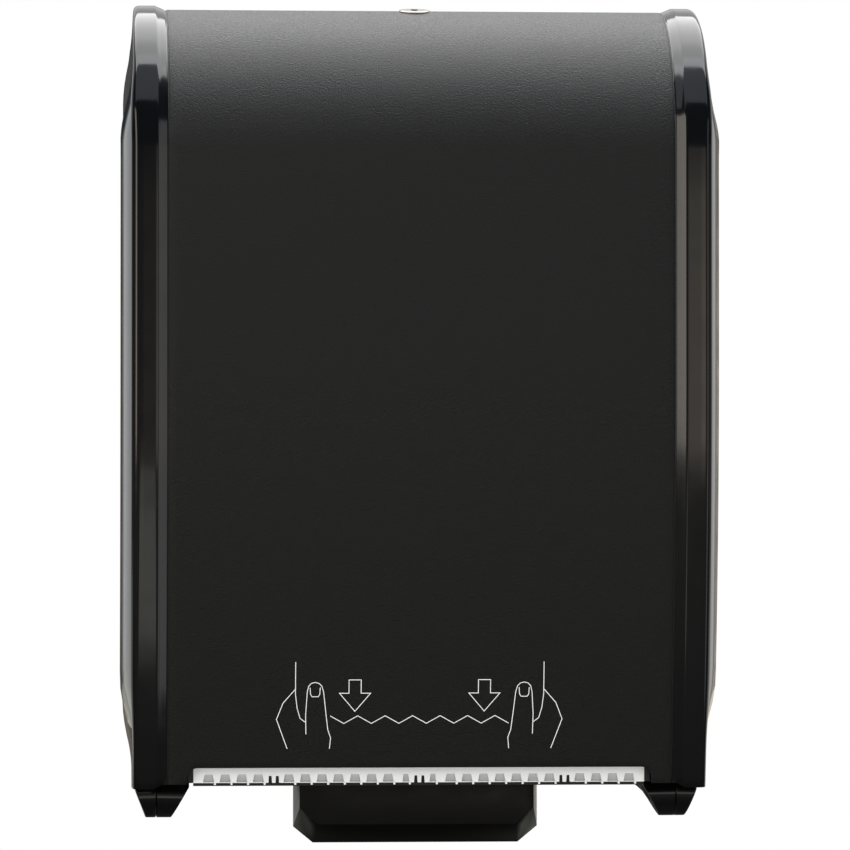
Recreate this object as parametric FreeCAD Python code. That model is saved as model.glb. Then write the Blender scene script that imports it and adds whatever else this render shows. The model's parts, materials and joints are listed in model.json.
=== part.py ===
"""Touchless roll towel dispenser for a wall, made of its separate pieces.

The towel roll hangs between two arms. The web runs down over a driven drum, whose hidden knife
cuts it, and leaves between a comb and a rear guide. A lever at the bottom feeds the first length.
All sizes are millimetres. X is to the viewer's right, Y runs into the wall, Z is up, and the
origin is the middle of the four wall screws on the back face.
"""
import FreeCAD, Part
import math
import os

Vector = FreeCAD.Vector

# Room for cutting tools
overrun = 5.0                             # how far a cutting tool runs past the face that it cuts
bite = 0.5                                # how deep a rib or boss starts inside what carries it
far = 300.0                               # beyond every face of the part

# Case: overall form
case_depth = 236.0                        # wall to the front rails at mid height
case_top = 198.0
case_bottom = -193.0
front_half_width = 142.2                  # outer edge of the front rails
shoulder_half_width = front_half_width + 6.2  # widest line of the sides
shoulder_end_half_width = front_half_width + 0.2
shoulder_depth = 16.0                     # how far behind the rails that line lies
shoulder_fade = (55.0, 72.0, 17.0, 32.0)  # it fades out between these distances from the ends
wall_half_width = front_half_width + 0.3  # half width where the case meets the wall
wall_end_half_width = front_half_width - 12.2
wall_fade = (35.0, 38.0, -29.0, -30.0)
top_radius = 75.0                         # roll-over of the front into the top
bow_start = 20.0                          # height where the front starts to bow back
bow_depth = 21.0                          # how far the lower front edge lies behind the rails
parting_depth = 85.0                      # wall to the joint between housing and cover
parting_gap = 0.6
lip_gap = 0.6                             # between the housing's lip and the cover's inside
lip_thickness = 1.8
lip_reach = 5.0
lip_bottom = case_bottom + 17.0
bridge_depth = 6.0                        # the web behind the parting joint that carries the lip
rib_height = 4.0                          # stiffening ribs on the back plate
rib_half = 1.2
rib_x = 45.0                              # places and reach of the upright and level ribs
rib_z = 150.0
rib_reach_x = 80.0
floor_side_gap = 0.6                      # the floor ends this far inside the case's outer faces
arm_top_gap = 0.6                         # between the side frames and the hinge arms below them
wall_thickness = 2.6
back_plate = 3.0

# Case: front rails and panel
panel_recess = 2.0
panel_half_width = front_half_width - 16.7
rail_inner = front_half_width - 11.7      # inner edge of the flat rails
cutout_half_width = front_half_width - 27.0
cutout_top = case_bottom + 10.4
cutout_radius = 5.0
corner_lift = 2.0                         # the lower edge beside the cut-out lies this much higher
corner_half_width = front_half_width - 10.2
bottom_flange_depth = 14.0

# Wall screws
wall_screw_x = 130.0                      # distance between the columns of holes
wall_screw_z = 240.0
wall_hole_radius = 3.25
wall_boss_radius = 9.0
wall_boss_height = 3.0

# Cover hinge
hinge_y = 54.0 - case_depth
hinge_z = case_bottom - 4.0
hinge_eye_radius = 11.5
hinge_pin_radius = 4.0
hinge_running_gap = 0.08
lug_outer_top = front_half_width - 1.2    # cover lug, outer side at its top and bottom
lug_outer_bottom = front_half_width - 7.2
hinge_split = front_half_width - 12.6     # plane between cover lug and housing arm
hinge_side_gap = 0.35
arm_inner_top = front_half_width - 28.7
arm_inner_bottom = front_half_width - 19.8
floor_front = 131.0 - case_depth          # front edge of the housing floor
lug_neck_half = 8.0                       # the lug's neck, front to back
lug_neck_top = case_bottom + 7.5
lug_root_z = case_bottom + 17.0           # how high the lug's web reaches up the cover's side wall
lug_web_thickness = 4.0
pin_end_wall = 3.0                        # what the lug keeps outside the end of the hinge pin
pin_overhang = 1.5                        # the pin's inner end beside the housing arm
arm_root_depth = 34.0                     # front to back, where the arm joins the floor
arm_knee_depth = 16.0                     # how far behind the hinge the arm's lower edge turns up
arm_knee_drop = 4.0

# Side frames
frame_inner = front_half_width - 27.2
frame_thickness = 3.0
frame_top = case_bottom + 158.0
frame_bottom = case_bottom + 7.0
frame_flange = 14.0
frame_flange_lift = 8.0                   # the flange's lower end above the frame's
frame_nose_drop = 5.0                     # the comb's top edge above the nose's lower corner
frame_nose = ((156.0, 158.0), (60.0, 125.0), (32.0, 101.0), (19.0, 75.0), (18.5, 49.0))
lever_notch_margin = (9.0, 13.5)          # degrees beyond the lever's bar, at rest and pushed in
lever_notch_depth = 46.5
lightening_radius = 15.0
lightening_places = ((-42.0, 125.0), (-42.0, 83.0), (-42.0, 41.0), (-84.0, 104.0), (-84.0, 62.0))
lever_notch_radius = 43.5
bush_flange_radius = 9.5
bush_radius = 7.5
bush_flange = 1.2

# Feed drum
drum_y = 72.0 - case_depth
drum_z = case_bottom + 61.0
drum_radius = 39.0
drum_wall = 2.6
band_thickness = 1.0
band_width = 16.0
band_pitch = 32.0
band_count = 6
drum_half_length = frame_inner - 13.0
cap_thickness = 3.5
cap_spigot = 3.5
slot_half_height = 3.0
slot_end_margin = 5.0
spigot_wall = 3.0
shaft_boss = 9.0                          # radius of the bosses round the drum shaft
shaft_boss_length = 4.0
tab_slot_margin = 2.5                     # the cap's radial slot beyond the knife tab's travel, inwards
tab_slot_edge = 1.5                       # what the cap keeps outside that slot
tab_slot_gap = 0.3
band_slot_gap = 1.5                       # between the knife's slot and the ends of a grip band
shaft_radius = 5.0
shaft_running_gap = 0.08

# Knife and its cams
knife_travel = 12.0
follower_radius = 4.0
follower_rest = 20.0                      # distance of the follower from the drum axis, knife drawn in
knife_bar_half = 2.0
knife_bar_back = 5.0                      # behind and before the follower's axis
knife_bar_front = 12.0
knife_bar_end_gap = 5.0                   # between the bar's end and the cap's spigot
tab_half = 4.0
tab_overhang = 0.8                        # the tab's end beyond the cap
follower_pin_radius = 1.6
blade_end_gap = 2.0
blade_half = 0.45
blade_tip_rest = 37.6
tooth_pitch = 4.0
tooth_height = 3.0
cam_radius = 41.0
cam_thickness = 7.5
cam_web = 1.5
groove_gap = 0.5
cam_shaft_gap = 1.0
cam_lobe_start = -15.0                    # angles about the drum axis, from +Y towards +Z
cam_lobe_end = 200.0

# Feed lever with its ratchet
lever_angle = -112.0                      # direction of the lever's arms at rest
lever_travel = 22.5
lever_bar_inner = 45.5
lever_bar_outer = 51.0
lever_bar_half_angle = 8.0
lever_arm_half = 8.0
lever_hub_radius = 12.0
lever_right_x = (frame_inner + 4.6, frame_inner + 7.6)
lever_left_x = (-frame_inner - 15.5, -frame_inner - 12.0)
paddle_front_y = 44.5 - case_depth
paddle_rear_y = 56.5 - case_depth
paddle_top = case_bottom + 15.0
paddle_wall = 2.4
# Half width, start of the chamfer, half width of the bottom, bottom
paddle_front = (58.5, case_bottom - 10.4, 49.4, case_bottom - 19.0)
paddle_rear = (61.2, case_bottom - 20.5, 51.4, case_bottom - 28.6)
paddle_rib_half = 1.0
paddle_rib_x = 30.0
paddle_rib_inset = 2.0
ratchet_teeth = 32
ratchet_tip = 22.0
ratchet_root = 19.5
ratchet_x = (-frame_inner - 10.0, -frame_inner - 5.6)
pawl_pivot_radius = 36.0
pawl_pivot_angle = -95.0
pawl_swing = 5.5
pawl_pin_radius = 2.5
pawl_boss = 5.0
pawl_tip = ((20.3, -46.2), (24.5, -45.9), (29.0, -52.0), (36.5, -72.0),
            (40.5, -88.0), (31.6, -90.0), (27.0, -76.0), (22.9, -58.0))
pawl_front_gap = 0.4
pawl_back_gap = 0.2
pawl_boss_gap = 0.3                       # between the lever's boss and the pawl
pawl_arm_start = 14.0
pawl_arm_half = 6.0
pin_head_rise = 1.5                       # of the pawl pin's head beyond the shank
pin_head_thickness = 1.2
return_spring_radius = 3.0
return_spring_x = frame_inner + 11.0
return_spring_hook = 2.9
return_hook_radius = 40.0                 # of the lever's stud, from the drum axis
return_post = (32.0 - case_depth, case_bottom + 41.0)
stud_radius = 1.8
stud_end_x = frame_inner + 14.0
stud_foot_length = 4.0

# Crank and assist spring
crank_x = (frame_inner + 9.0, frame_inner + 13.0)
crank_radius = 27.0
crank_pin_orbit = 22.0
crank_pin_radius = 2.5
crank_pin_end = frame_inner + 20.0
crank_boss_length = 2.0
crank_hole_radius = 6.0
crank_hole_orbit = 16.5
pin_rim = 1.2                             # rise and thickness of the rims that keep a hook on its pin
clip_rise = 3.0
clip_thickness = 1.2
clip_ratchet_gap = 6.3                    # from the ratchet to the left clip, past the lever's arm
shaft_end = 1.2                           # the shaft beyond its clips, left
assist_post = (136.0 - case_depth, case_bottom + 143.0)
assist_spring_radius = 3.5
post_radius = 3.5
post_collar_rise = 1.5
post_collar_length = 6.0
spring_wire = 0.8
spring_wall = 1.2
spring_neck = 1.6                         # between a spring's hook and its coils
hook_gap = 0.3                            # between a hook's wire and its pin

# Pinch rollers
pinch_angle = 70.0
pinch_radius = 9.0
pinch_gap = 0.3
pinch_width = 14.0
pinch_shaft_radius = 3.0
pinch_travel = 2.5
block_half = 7.0
block_inner = frame_inner - 6.0
block_side_gap = 0.4
tongue_half = 4.0
tongue_gap = 0.1
tongue_end_gap = 0.3
pinch_shaft_gap = 0.6                     # between the shaft's end and the end of its bore
pinch_spring_radius = 2.6
pinch_spring_wall = 1.0
pinch_spring_shift = 0.2                  # inwards, clear of the frame
pinch_spring_length = 11.0
spring_tab = 3.0

# Towel path
guard_inner = 52.0
guard_thickness = 2.0
guard_start = 118.0                       # angles about the drum axis
guard_end = 212.0
guard_rib_half = 0.8
guard_rib_height = 1.5
comb_front = 26.6 - case_depth
comb_thickness = 2.2
comb_bottom = case_bottom + 1.8
comb_top = case_bottom + 26.0
comb_post_width = 3.0
comb_bottom_lift = 1.0                    # the plain strip between two rib tips ends this much higher
window_pitch = 8.2
window_top = case_bottom + 7.0
window_height = 3.8
window_depth = 1.1
window_half = 2.7
window_taper = 0.72                       # upper width of a window over its lower width
narrow_window_half = 1.6                  # beside the middle gap
narrow_window_shift = 0.6
rib_tip_half = 0.5
rib_tip_gap = 0.4                         # between a window and the rib tip beside it
first_window = 7.3                        # middle of the first window right of the middle gap
side_gap_place = 72.2                     # middle of the gaps between the window groups
end_window = 79.8                         # middle of the first window beyond that gap
middle_windows = 8
comb_gap_inner = 0.8                      # each gap is two slits, with a tooth between them
comb_gap_outer = 2.7
comb_post_depth = 6.2
rear_guide_top = (46.0 - case_depth, case_bottom + 27.0)
rear_guide_low = (37.4 - case_depth, case_bottom + 5.0)
rear_guide_thickness = 1.8
guide_slot_half = 5.0
guide_slot_drop = 4.5
guide_slot_height = 4.5

# Roll holder
roll_y = 119.0 - case_depth
roll_z = case_top - 110.0
roll_arm_x = 104.0                        # inner face of the arms
roll_arm_thickness = 5.0
roll_arm_tip = 15.0
roll_arm_root = 28.0
roll_arm_web = 2.4                        # thickness of the arm inside its rim
roll_arm_rim = 6.0
roll_arm_back = -22.0                     # middle of the arm's wide end
roll_sink_start = 4.0                     # the sunk field starts this far before it
roll_sink_end = 18.0                      # and ends this far behind the roll's axis
roll_foot_width = 24.0
roll_foot_half = 30.0
hub_flange_radius = 26.0
hub_flange = 2.2
hub_plug_radius = 19.0
hub_plug_length = 8.5
hub_plug_straight = 4.0                   # the rest of the plug tapers
hub_plug_taper = 2.5
hub_slot_count = 6                        # slots in the taper
hub_slot_half = 1.2
hub_slot_start = 10.5                     # from the hub's axis
hub_end_wall = 1.6
stub_cover = 2.0                          # from the axle's end to the plug's tip
hub_pin_radius = 6.0
hub_side_gap = 0.3
arm_pivot_x = 106.5
arm_pivot_y = -13.0
arm_pin_radius = 3.0
arm_barrel_radius = 6.5
ear_height = 8.0
ear_gap = 0.4
arm_spring_height = 15.0
arm_spring_radius = 5.4
arm_spring_wall = 1.4
spring_room = 0.6                         # between the arm's plate and the barrel line

# Lock in the top of the cover
lock_y = 62.3 - case_depth
lock_tilt = 10.0
lock_face_radius = 7.8
lock_face_rise = 0.9                      # the face above the cover's arc
lock_face_chamfer = 0.5
lock_flange_sink = 1.2                    # the sleeve starts this far below the face
lock_stem_radius = 3.0
lock_hub_radius = 5.0
lock_screw_radius = 4.2
lock_screw_height = 1.6
lock_gap = 0.1
lock_sleeve_radius = 10.5
lock_sleeve_length = 8.5
lock_cam_drop = 13.8                      # face of the lock to the middle of the tongue
lock_cam_thickness = 2.4
lock_cam_reach = 14.0
lock_cam_half = 3.5
keyhole_half_width = 1.6
keyhole_half_length = 3.6
keyhole_depth = 3.0
keeper_x = (14.0, 24.0)
keeper_side_gap = 0.6                     # between the strap and the notch in the housing's lip
keeper_tab_y = 57.6 - case_depth
keeper_thickness = 2.4
keeper_clearance = 1.0
keeper_bend_y = 86.0 - case_depth
keeper_droop = 3.2                        # how far the strap falls between its bend and its end
keeper_root_half = 9.0
keeper_root_depth = 24.0
keeper_hook_x = 8.5
keeper_hook_low = case_top - 19.5
keeper_hook_top = case_top - 13.4

# Screws
frame_screw_z = (case_bottom + 33.0, case_bottom + 88.0, case_bottom + 143.0)
roll_screw_spread = 20.0                  # of the roll arms' screws, above and below the roll's axis
screw_tip_gap = 0.4                       # between a screw's tip and the wall
screw_radius = 2.0
screw_head_radius = 4.0
screw_head_height = 2.2


def point(y, z, x=0.0):
    return Vector(x, y, z)


def polar(radius, degrees):
    """A place in the Y-Z plane, measured about the drum axis."""
    angle = math.radians(degrees)
    return drum_y + radius * math.cos(angle), drum_z + radius * math.sin(angle)


def box(x0, x1, y0, y1, z0, z1):
    low = Vector(min(x0, x1), min(y0, y1), min(z0, z1))
    return Part.makeBox(abs(x1 - x0), abs(y1 - y0), abs(z1 - z0), low)


def rod(radius, x0, x1, y=drum_y, z=drum_z):
    return Part.makeCylinder(radius, abs(x1 - x0), Vector(min(x0, x1), y, z), Vector(1, 0, 0))


def tube(outer, inner, x0, x1, y=drum_y, z=drum_z):
    return rod(outer, x0, x1, y, z).cut(rod(inner, x0 - 1, x1 + 1, y, z))


def plate_x(points, x0, x1):
    """A flat piece: a Y-Z outline drawn through its corners, thick along X."""
    wire = Part.makePolygon([Vector(x0, y, z) for y, z in list(points) + [points[0]]])
    return Part.Face(wire).extrude(Vector(x1 - x0, 0, 0))


def radial_box(x0, x1, r0, r1, half, degrees):
    """A bar that runs out from the drum axis at an angle."""
    angle = math.radians(degrees)
    out = (math.cos(angle), math.sin(angle))
    side = (-out[1], out[0])
    corners = []
    for radius, sign in ((r0, -1), (r1, -1), (r1, 1), (r0, 1)):
        corners.append((drum_y + radius * out[0] + sign * half * side[0],
                        drum_z + radius * out[1] + sign * half * side[1]))
    return plate_x(corners, x0, x1)


def sector(x0, x1, r0, r1, start, end):
    """A piece of a ring about the drum axis between two angles."""
    middle = (start + end) / 2
    arcs = [Part.Arc(*[point(*polar(radius, angle), x0) for angle in (first, middle, last)]).toShape()
            for radius, first, last in ((r1, start, end), (r0, end, start))]
    sides = [Part.makeLine(point(*polar(r1, end), x0), point(*polar(r0, end), x0)),
             Part.makeLine(point(*polar(r0, start), x0), point(*polar(r1, start), x0))]
    wire = Part.Wire([arcs[0], sides[0], arcs[1], sides[1]])
    return Part.Face(wire).extrude(Vector(x1 - x0, 0, 0))


def link(x0, x1, start, end, radius0, radius1):
    """A flat arm in the Y-Z plane with two round ends."""
    (y0, z0), (y1, z1) = start, end
    length = math.hypot(y1 - y0, z1 - z0)
    base = math.atan2(z1 - z0, y1 - y0)
    lean = math.asin((radius0 - radius1) / length)
    corners = []
    for sign in (1, -1):
        angle = base + sign * (math.pi / 2 - lean)
        ends = [(y0 + radius0 * math.cos(angle), z0 + radius0 * math.sin(angle)),
                (y1 + radius1 * math.cos(angle), z1 + radius1 * math.sin(angle))]
        corners += ends if sign == 1 else ends[::-1]
    body = plate_x(corners, x0, x1)
    return body.fuse([rod(radius0, x0, x1, y0, z0), rod(radius1, x0, x1, y1, z1)]).removeSplitter()


def strut(radius, start, end):
    """A round bar between two places in space."""
    run = end - start
    return Part.makeCylinder(radius, run.Length, start, run)


def mirrored(shape):
    return shape.mirror(Vector(0, 0, 0), Vector(1, 0, 0))


def both_sides(shape):
    return Part.makeCompound([shape, mirrored(shape)])


def fused(shapes):
    return shapes[0].fuse(shapes[1:]).removeSplitter()


# Case

def fade(z, full_low, full_high, end_low, end_high):
    """1 along the middle of a side, falling smoothly to 0 at its ends."""
    if z > full_high:
        part = (z - full_high) / (end_high - full_high)
    elif z < full_low:
        part = (full_low - z) / (full_low - end_low)
    else:
        return 1.0
    return 0.5 + 0.5 * math.cos(math.pi * min(part, 1.0))


def side_line(y, middle, ends, full, low, high, inset, sign):
    """One side of a section of the case, as a smooth curve from bottom to top."""
    points = []
    steps = 22
    for i in range(steps + 1):
        z = low + (high - low) * i / steps
        share = fade(z, case_bottom + full[0], case_top - full[1],
                     case_bottom + full[2], case_top - full[3])
        points.append(Vector(sign * (ends + (middle - ends) * share - inset), y, z))
    curve = Part.BSplineCurve()
    curve.interpolate(points)
    return curve.toShape()


def case_section(y, middle, ends, full, low, high, inset):
    right = side_line(y, middle, ends, full, low, high, inset, 1)
    left = side_line(y, middle, ends, full, low, high, inset, -1)
    rb, rt = right.Vertexes[0].Point, right.Vertexes[-1].Point
    lb, lt = left.Vertexes[0].Point, left.Vertexes[-1].Point
    bottom = Part.makeLine(lb, rb)
    top = Part.makeLine(rt, lt)
    return Part.Wire([bottom, right, top, left])


def flared_body(inset, low, high):
    """The plan form of the case: rails, shoulder and wall, joined by ruled sides."""
    front_reach = overrun / shoulder_depth
    wall_reach = overrun / (case_depth - shoulder_depth)
    stations = [
        (-case_depth - overrun,
         front_half_width - (shoulder_half_width - front_half_width) * front_reach,
         front_half_width - (shoulder_end_half_width - front_half_width) * front_reach,
         shoulder_fade),
        (-case_depth + shoulder_depth, shoulder_half_width, shoulder_end_half_width, shoulder_fade),
        (overrun,
         wall_half_width - (shoulder_half_width - wall_half_width) * wall_reach,
         wall_end_half_width - (shoulder_end_half_width - wall_end_half_width) * wall_reach,
         wall_fade),
    ]
    sections = [case_section(y, mid, end, full, low, high, inset) for y, mid, end, full in stations]
    return Part.makeLoft(sections, True, True)


def front_profile(offset, bottom, back=0.0):
    """The side view of the case, moved inwards by offset, as a closed wire at X = 0."""
    front = -case_depth + offset
    top = case_top - offset
    radius = top_radius - offset
    arc_y = -case_depth + top_radius
    arc_z = case_top - top_radius
    bow_radius = ((bow_start - case_bottom) ** 2 + bow_depth ** 2) / (2 * bow_depth)
    small = bow_radius - offset
    centre_y = -case_depth + bow_radius
    drop = bow_start - bottom
    low_y = centre_y - math.sqrt(small ** 2 - drop ** 2)
    half = drop / 2
    mid_y = centre_y - math.sqrt(small ** 2 - half ** 2)
    turn = math.radians(135)
    knee = (arc_y + radius * math.cos(turn), arc_z + radius * math.sin(turn))
    edges = [
        Part.makeLine(point(back, bottom), point(back, top)),
        Part.makeLine(point(back, top), point(arc_y, top)),
        Part.Arc(point(arc_y, top), point(*knee), point(front, arc_z)).toShape(),
        Part.makeLine(point(front, arc_z), point(front, bow_start)),
        Part.Arc(point(front, bow_start), point(mid_y, bow_start - half),
                 point(low_y, bottom)).toShape(),
        Part.makeLine(point(low_y, bottom), point(back, bottom)),
    ]
    return Part.Wire(edges)


def front_body(offset, half_width, bottom):
    wire = front_profile(offset, bottom)
    wire.translate(Vector(-half_width, 0, 0))
    return Part.Face(wire).extrude(Vector(2 * half_width, 0, 0))


def railed_body():
    """The case's side view with raised rails, a slope and the sunk panel between them."""
    over = shoulder_half_width + overrun
    panel = front_body(panel_recess, panel_half_width, case_bottom)
    pieces = [panel]
    for sign in (1, -1):
        low_wire = front_profile(panel_recess, case_bottom)
        low_wire.translate(Vector(sign * panel_half_width, 0, 0))
        rail_wire = front_profile(0.0, case_bottom)
        rail_wire.translate(Vector(sign * rail_inner, 0, 0))
        pieces.append(Part.makeLoft([low_wire, rail_wire], True, True))
        wire = front_profile(0.0, case_bottom)
        wire.translate(Vector(sign * rail_inner, 0, 0))
        pieces.append(Part.Face(wire).extrude(Vector(sign * (over - rail_inner), 0, 0)))
    return fused(pieces)


def case_shell():
    """The whole case as one open-bottomed shell, before it is parted in two."""
    outer = railed_body().common(flared_body(0.0, case_bottom - overrun, case_top + overrun))
    inner_offset = panel_recess + wall_thickness
    open_bottom = case_bottom - overrun
    void = front_body(inner_offset, shoulder_half_width, open_bottom)
    inner = flared_body(wall_thickness, open_bottom - overrun, case_top + overrun)
    behind = box(-far, far, -case_depth, -back_plate, -far, case_top - wall_thickness)
    return outer, void.common(inner).common(behind)


CASE_OUTER, CASE_VOID = case_shell()


def cover_cutout():
    """The opening in the lower front edge for the towel, with rounded upper corners."""
    front, back = -case_depth - overrun, -case_depth + bow_depth + bottom_flange_depth + overrun
    depth = back - front
    low = case_bottom - overrun
    opening = box(-cutout_half_width, cutout_half_width, front, back, low, cutout_top)
    corners = [e for e in opening.Edges
               if abs(e.Vertexes[0].Point.z - cutout_top) < 0.01
               and abs(e.Vertexes[-1].Point.z - cutout_top) < 0.01
               and abs(e.Length - depth) < 0.01]
    opening = opening.makeFillet(cutout_radius, corners)
    lifted = box(-corner_half_width, corner_half_width, front, back, low, case_bottom + corner_lift)
    return opening.fuse(lifted)


def slanted_end(x_top, x_bottom, way, depth):
    """What is shaved off an eye's end face, which leans from the case's bottom to the eye's."""
    low = hinge_z - hinge_eye_radius
    front = hinge_y - depth / 2
    corners = [(x_top, case_bottom), (x_top + way * far, case_bottom),
               (x_top + way * far, low), (x_bottom, low), (x_top, case_bottom)]
    wire = Part.makePolygon([Vector(x, front, z) for x, z in corners])
    return Part.Face(wire).extrude(Vector(0, depth, 0))


def hinge_lug():
    """The cover's right hinge lug, hanging from the side wall."""
    x0 = hinge_split + hinge_side_gap / 2
    front, back = hinge_y - lug_neck_half, hinge_y + lug_neck_half
    eye = rod(hinge_eye_radius, x0, lug_outer_top, hinge_y, hinge_z)
    neck = box(x0, lug_outer_top, front, back, hinge_z, lug_neck_top)
    web = box(lug_outer_top - lug_web_thickness, shoulder_half_width, front, back,
              case_bottom + wall_thickness, lug_root_z)
    shave = slanted_end(lug_outer_top, lug_outer_bottom, 1, 4 * hinge_eye_radius)
    return fused([eye, neck, web]).cut(shave)


def front_cover():
    """The cover: a shell that tips forward on two lugs."""
    shell = CASE_OUTER.cut(CASE_VOID)
    shell = shell.common(box(-far, far, -far, -parting_depth, -far, far))
    low_y = -case_depth + bow_depth
    flange = box(-far, far, low_y - overrun, low_y + bottom_flange_depth,
                 case_bottom, case_bottom + wall_thickness)
    flange = flange.common(CASE_OUTER)
    shell = shell.fuse(flange).cut(cover_cutout())
    below = box(0, lug_outer_top, -far, 0, -far, case_bottom + 2 * hinge_eye_radius)
    lug = hinge_lug().common(CASE_OUTER.fuse(below))
    shell = shell.fuse([lug, mirrored(lug)])
    pin_hole = rod(hinge_pin_radius, hinge_split, lug_outer_top - pin_end_wall, hinge_y, hinge_z)
    bore = lock_cylinder(lock_face_radius + lock_gap, overrun, -lock_sleeve_length)
    return shell.cut([pin_hole, mirrored(pin_hole), bore]).removeSplitter()


def cover_hinge_pins():
    pin = rod(hinge_pin_radius, arm_inner_bottom - pin_overhang, lug_outer_top - pin_end_wall,
              hinge_y, hinge_z)
    return both_sides(pin)


def housing_arm():
    """The housing's right hinge arm, a tapered eye on the end of a floor rail."""
    x0, x1 = arm_inner_top, hinge_split - hinge_side_gap / 2
    top = frame_bottom - arm_top_gap
    rear = floor_front + arm_root_depth / 2
    eye = rod(hinge_eye_radius, x0, x1, hinge_y, hinge_z)
    rail = plate_x([(hinge_y, top), (rear, top), (rear, case_bottom),
                    (floor_front - arm_root_depth / 2, case_bottom),
                    (hinge_y + arm_knee_depth, case_bottom - arm_knee_drop),
                    (hinge_y, hinge_z - hinge_eye_radius)], x0, x1)
    shave = slanted_end(x0, arm_inner_bottom, -1, 8 * hinge_eye_radius)
    body = eye.fuse(rail).cut(shave).common(box(0, far, -far, 0, -far, top))
    bore = rod(hinge_pin_radius + hinge_running_gap, x0 - overrun, x1 + overrun, hinge_y, hinge_z)
    return body.cut(bore).removeSplitter()


def frame_screw_places():
    """Where screws hold the frames and roll arms to the back plate: (x, z)."""
    places = []
    for sign in (-1, 1):
        for z in frame_screw_z:
            places.append((sign * (frame_inner - frame_flange / 2), z))
        for z in (roll_z - roll_screw_spread, roll_z + roll_screw_spread):
            places.append((sign * (roll_arm_x - roll_foot_width / 2), z))
    return places


def housing_floor():
    """The floor, full width behind the parting joint and inside the cover in front of it."""
    top = case_bottom + wall_thickness
    split = -parting_depth + parting_gap
    rear = box(-far, far, split, 0, case_bottom, top)
    front = box(-far, far, floor_front, split + bite, case_bottom, top)
    low = case_bottom - overrun
    return [rear.common(flared_body(floor_side_gap, low, case_top)),
            front.common(flared_body(wall_thickness + lip_gap, low, case_top))]


def housing_lip():
    """The lip that the cover closes over, with the web that joins it to the walls."""
    inset = wall_thickness + lip_gap
    top = case_top - panel_recess - inset
    front, back = -parting_depth - lip_reach, -parting_depth + bridge_depth
    outer = flared_body(inset, case_bottom, top)
    inner = flared_body(inset + lip_thickness, case_bottom - overrun, top - lip_thickness)
    lip = outer.cut(inner).common(box(-far, far, front, back, lip_bottom, far))
    web = CASE_OUTER.cut(inner).common(
        box(-far, far, -parting_depth + parting_gap, back, lip_bottom, far))
    notch = box(keeper_x[0] - keeper_side_gap, keeper_x[1] + keeper_side_gap,
                front - overrun, back + bite, top - lip_thickness - overrun,
                case_top - panel_recess - wall_thickness)
    return [lip.cut(notch), web.cut(notch)]


def back_ribs():
    front, back = -back_plate - rib_height, -back_plate + bite
    ribs = [box(x - rib_half, x + rib_half, front, back, -rib_z, rib_z) for x in (-rib_x, rib_x)]
    ribs += [box(-rib_reach_x, rib_reach_x, front, back, z - rib_half, z + rib_half)
             for z in (-rib_z, rib_z)]
    return ribs


def wall_cylinders(radius, front, back, places):
    """Upright to the wall: one cylinder at each (x, z) place."""
    return [Part.makeCylinder(radius, back - front, Vector(x, front, z), Vector(0, 1, 0))
            for x, z in places]


def wall_screw_places():
    return [(x, z) for x in (-wall_screw_x / 2, wall_screw_x / 2)
            for z in (-wall_screw_z / 2, wall_screw_z / 2)]


def rear_housing():
    """The wall housing: back plate, short side walls, floor and the two hinge arms."""
    shell = CASE_OUTER.cut(CASE_VOID)
    shell = shell.common(box(-far, far, -parting_depth + parting_gap, 0, -far, far))
    arm = housing_arm()
    bosses = wall_cylinders(wall_boss_radius, -back_plate - wall_boss_height, -back_plate + bite,
                            wall_screw_places())
    body = shell.fuse(housing_lip() + housing_floor() + [arm, mirrored(arm)] + back_ribs() + bosses)
    holes = wall_cylinders(wall_hole_radius, -far, overrun, wall_screw_places())
    return body.cut(holes + screw_holes())


def screw_holes():
    return wall_cylinders(screw_radius, -back_plate - frame_thickness - overrun, overrun,
                          frame_screw_places())


def frame_screws():
    seat = -back_plate - frame_thickness
    shanks = wall_cylinders(screw_radius, seat, -screw_tip_gap, frame_screw_places())
    heads = wall_cylinders(screw_head_radius, seat - screw_head_height, seat, frame_screw_places())
    return Part.makeCompound([fused(list(pair)) for pair in zip(shanks, heads)])


# Side frames, bushes and towel path

def frame_outline():
    back = -back_plate - frame_thickness
    nose = [(y - case_depth, case_bottom + z) for y, z in frame_nose]
    return [(back, frame_top)] + nose + [(comb_front, comb_top - frame_nose_drop),
                                         (comb_front, frame_bottom), (back, frame_bottom)]


def pinch_middle():
    """Distance of the pinch rollers' shaft from the drum axis."""
    return drum_radius + band_thickness + pinch_gap + pinch_radius


def side_frame():
    """The right side frame: a folded plate with a flange on the back plate."""
    x0, x1 = frame_inner, frame_inner + frame_thickness
    past0, past1 = x0 - overrun, x1 + overrun
    body = plate_x(frame_outline(), x0, x1)
    flange = box(x0 - frame_flange, x1, -back_plate - frame_thickness, -back_plate,
                 frame_bottom + frame_flange_lift, frame_top)
    low = pinch_middle() - tongue_half - tongue_end_gap
    high = pinch_middle() + tongue_half + pinch_travel + tongue_end_gap
    notch_start = lever_angle - lever_bar_half_angle - lever_notch_margin[0]
    notch_end = lever_angle + lever_travel + lever_bar_half_angle + lever_notch_margin[1]
    cuts = [sector(past0, past1, lever_notch_radius, lever_notch_radius + lever_notch_depth,
                   notch_start, notch_end),
            rod(bush_radius, past0, past1),
            radial_box(past0, past1, low, high, tongue_half + tongue_gap, pinch_angle)]
    cuts += [rod(lightening_radius, past0, past1, y, case_bottom + z) for y, z in lightening_places]
    tab_low = pinch_middle() + block_half + pinch_spring_length
    tab = radial_box(block_inner, x0, tab_low, tab_low + spring_tab, block_half, pinch_angle)
    return body.fuse([flange, tab]).cut(cuts + screw_holes()).removeSplitter()


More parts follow.
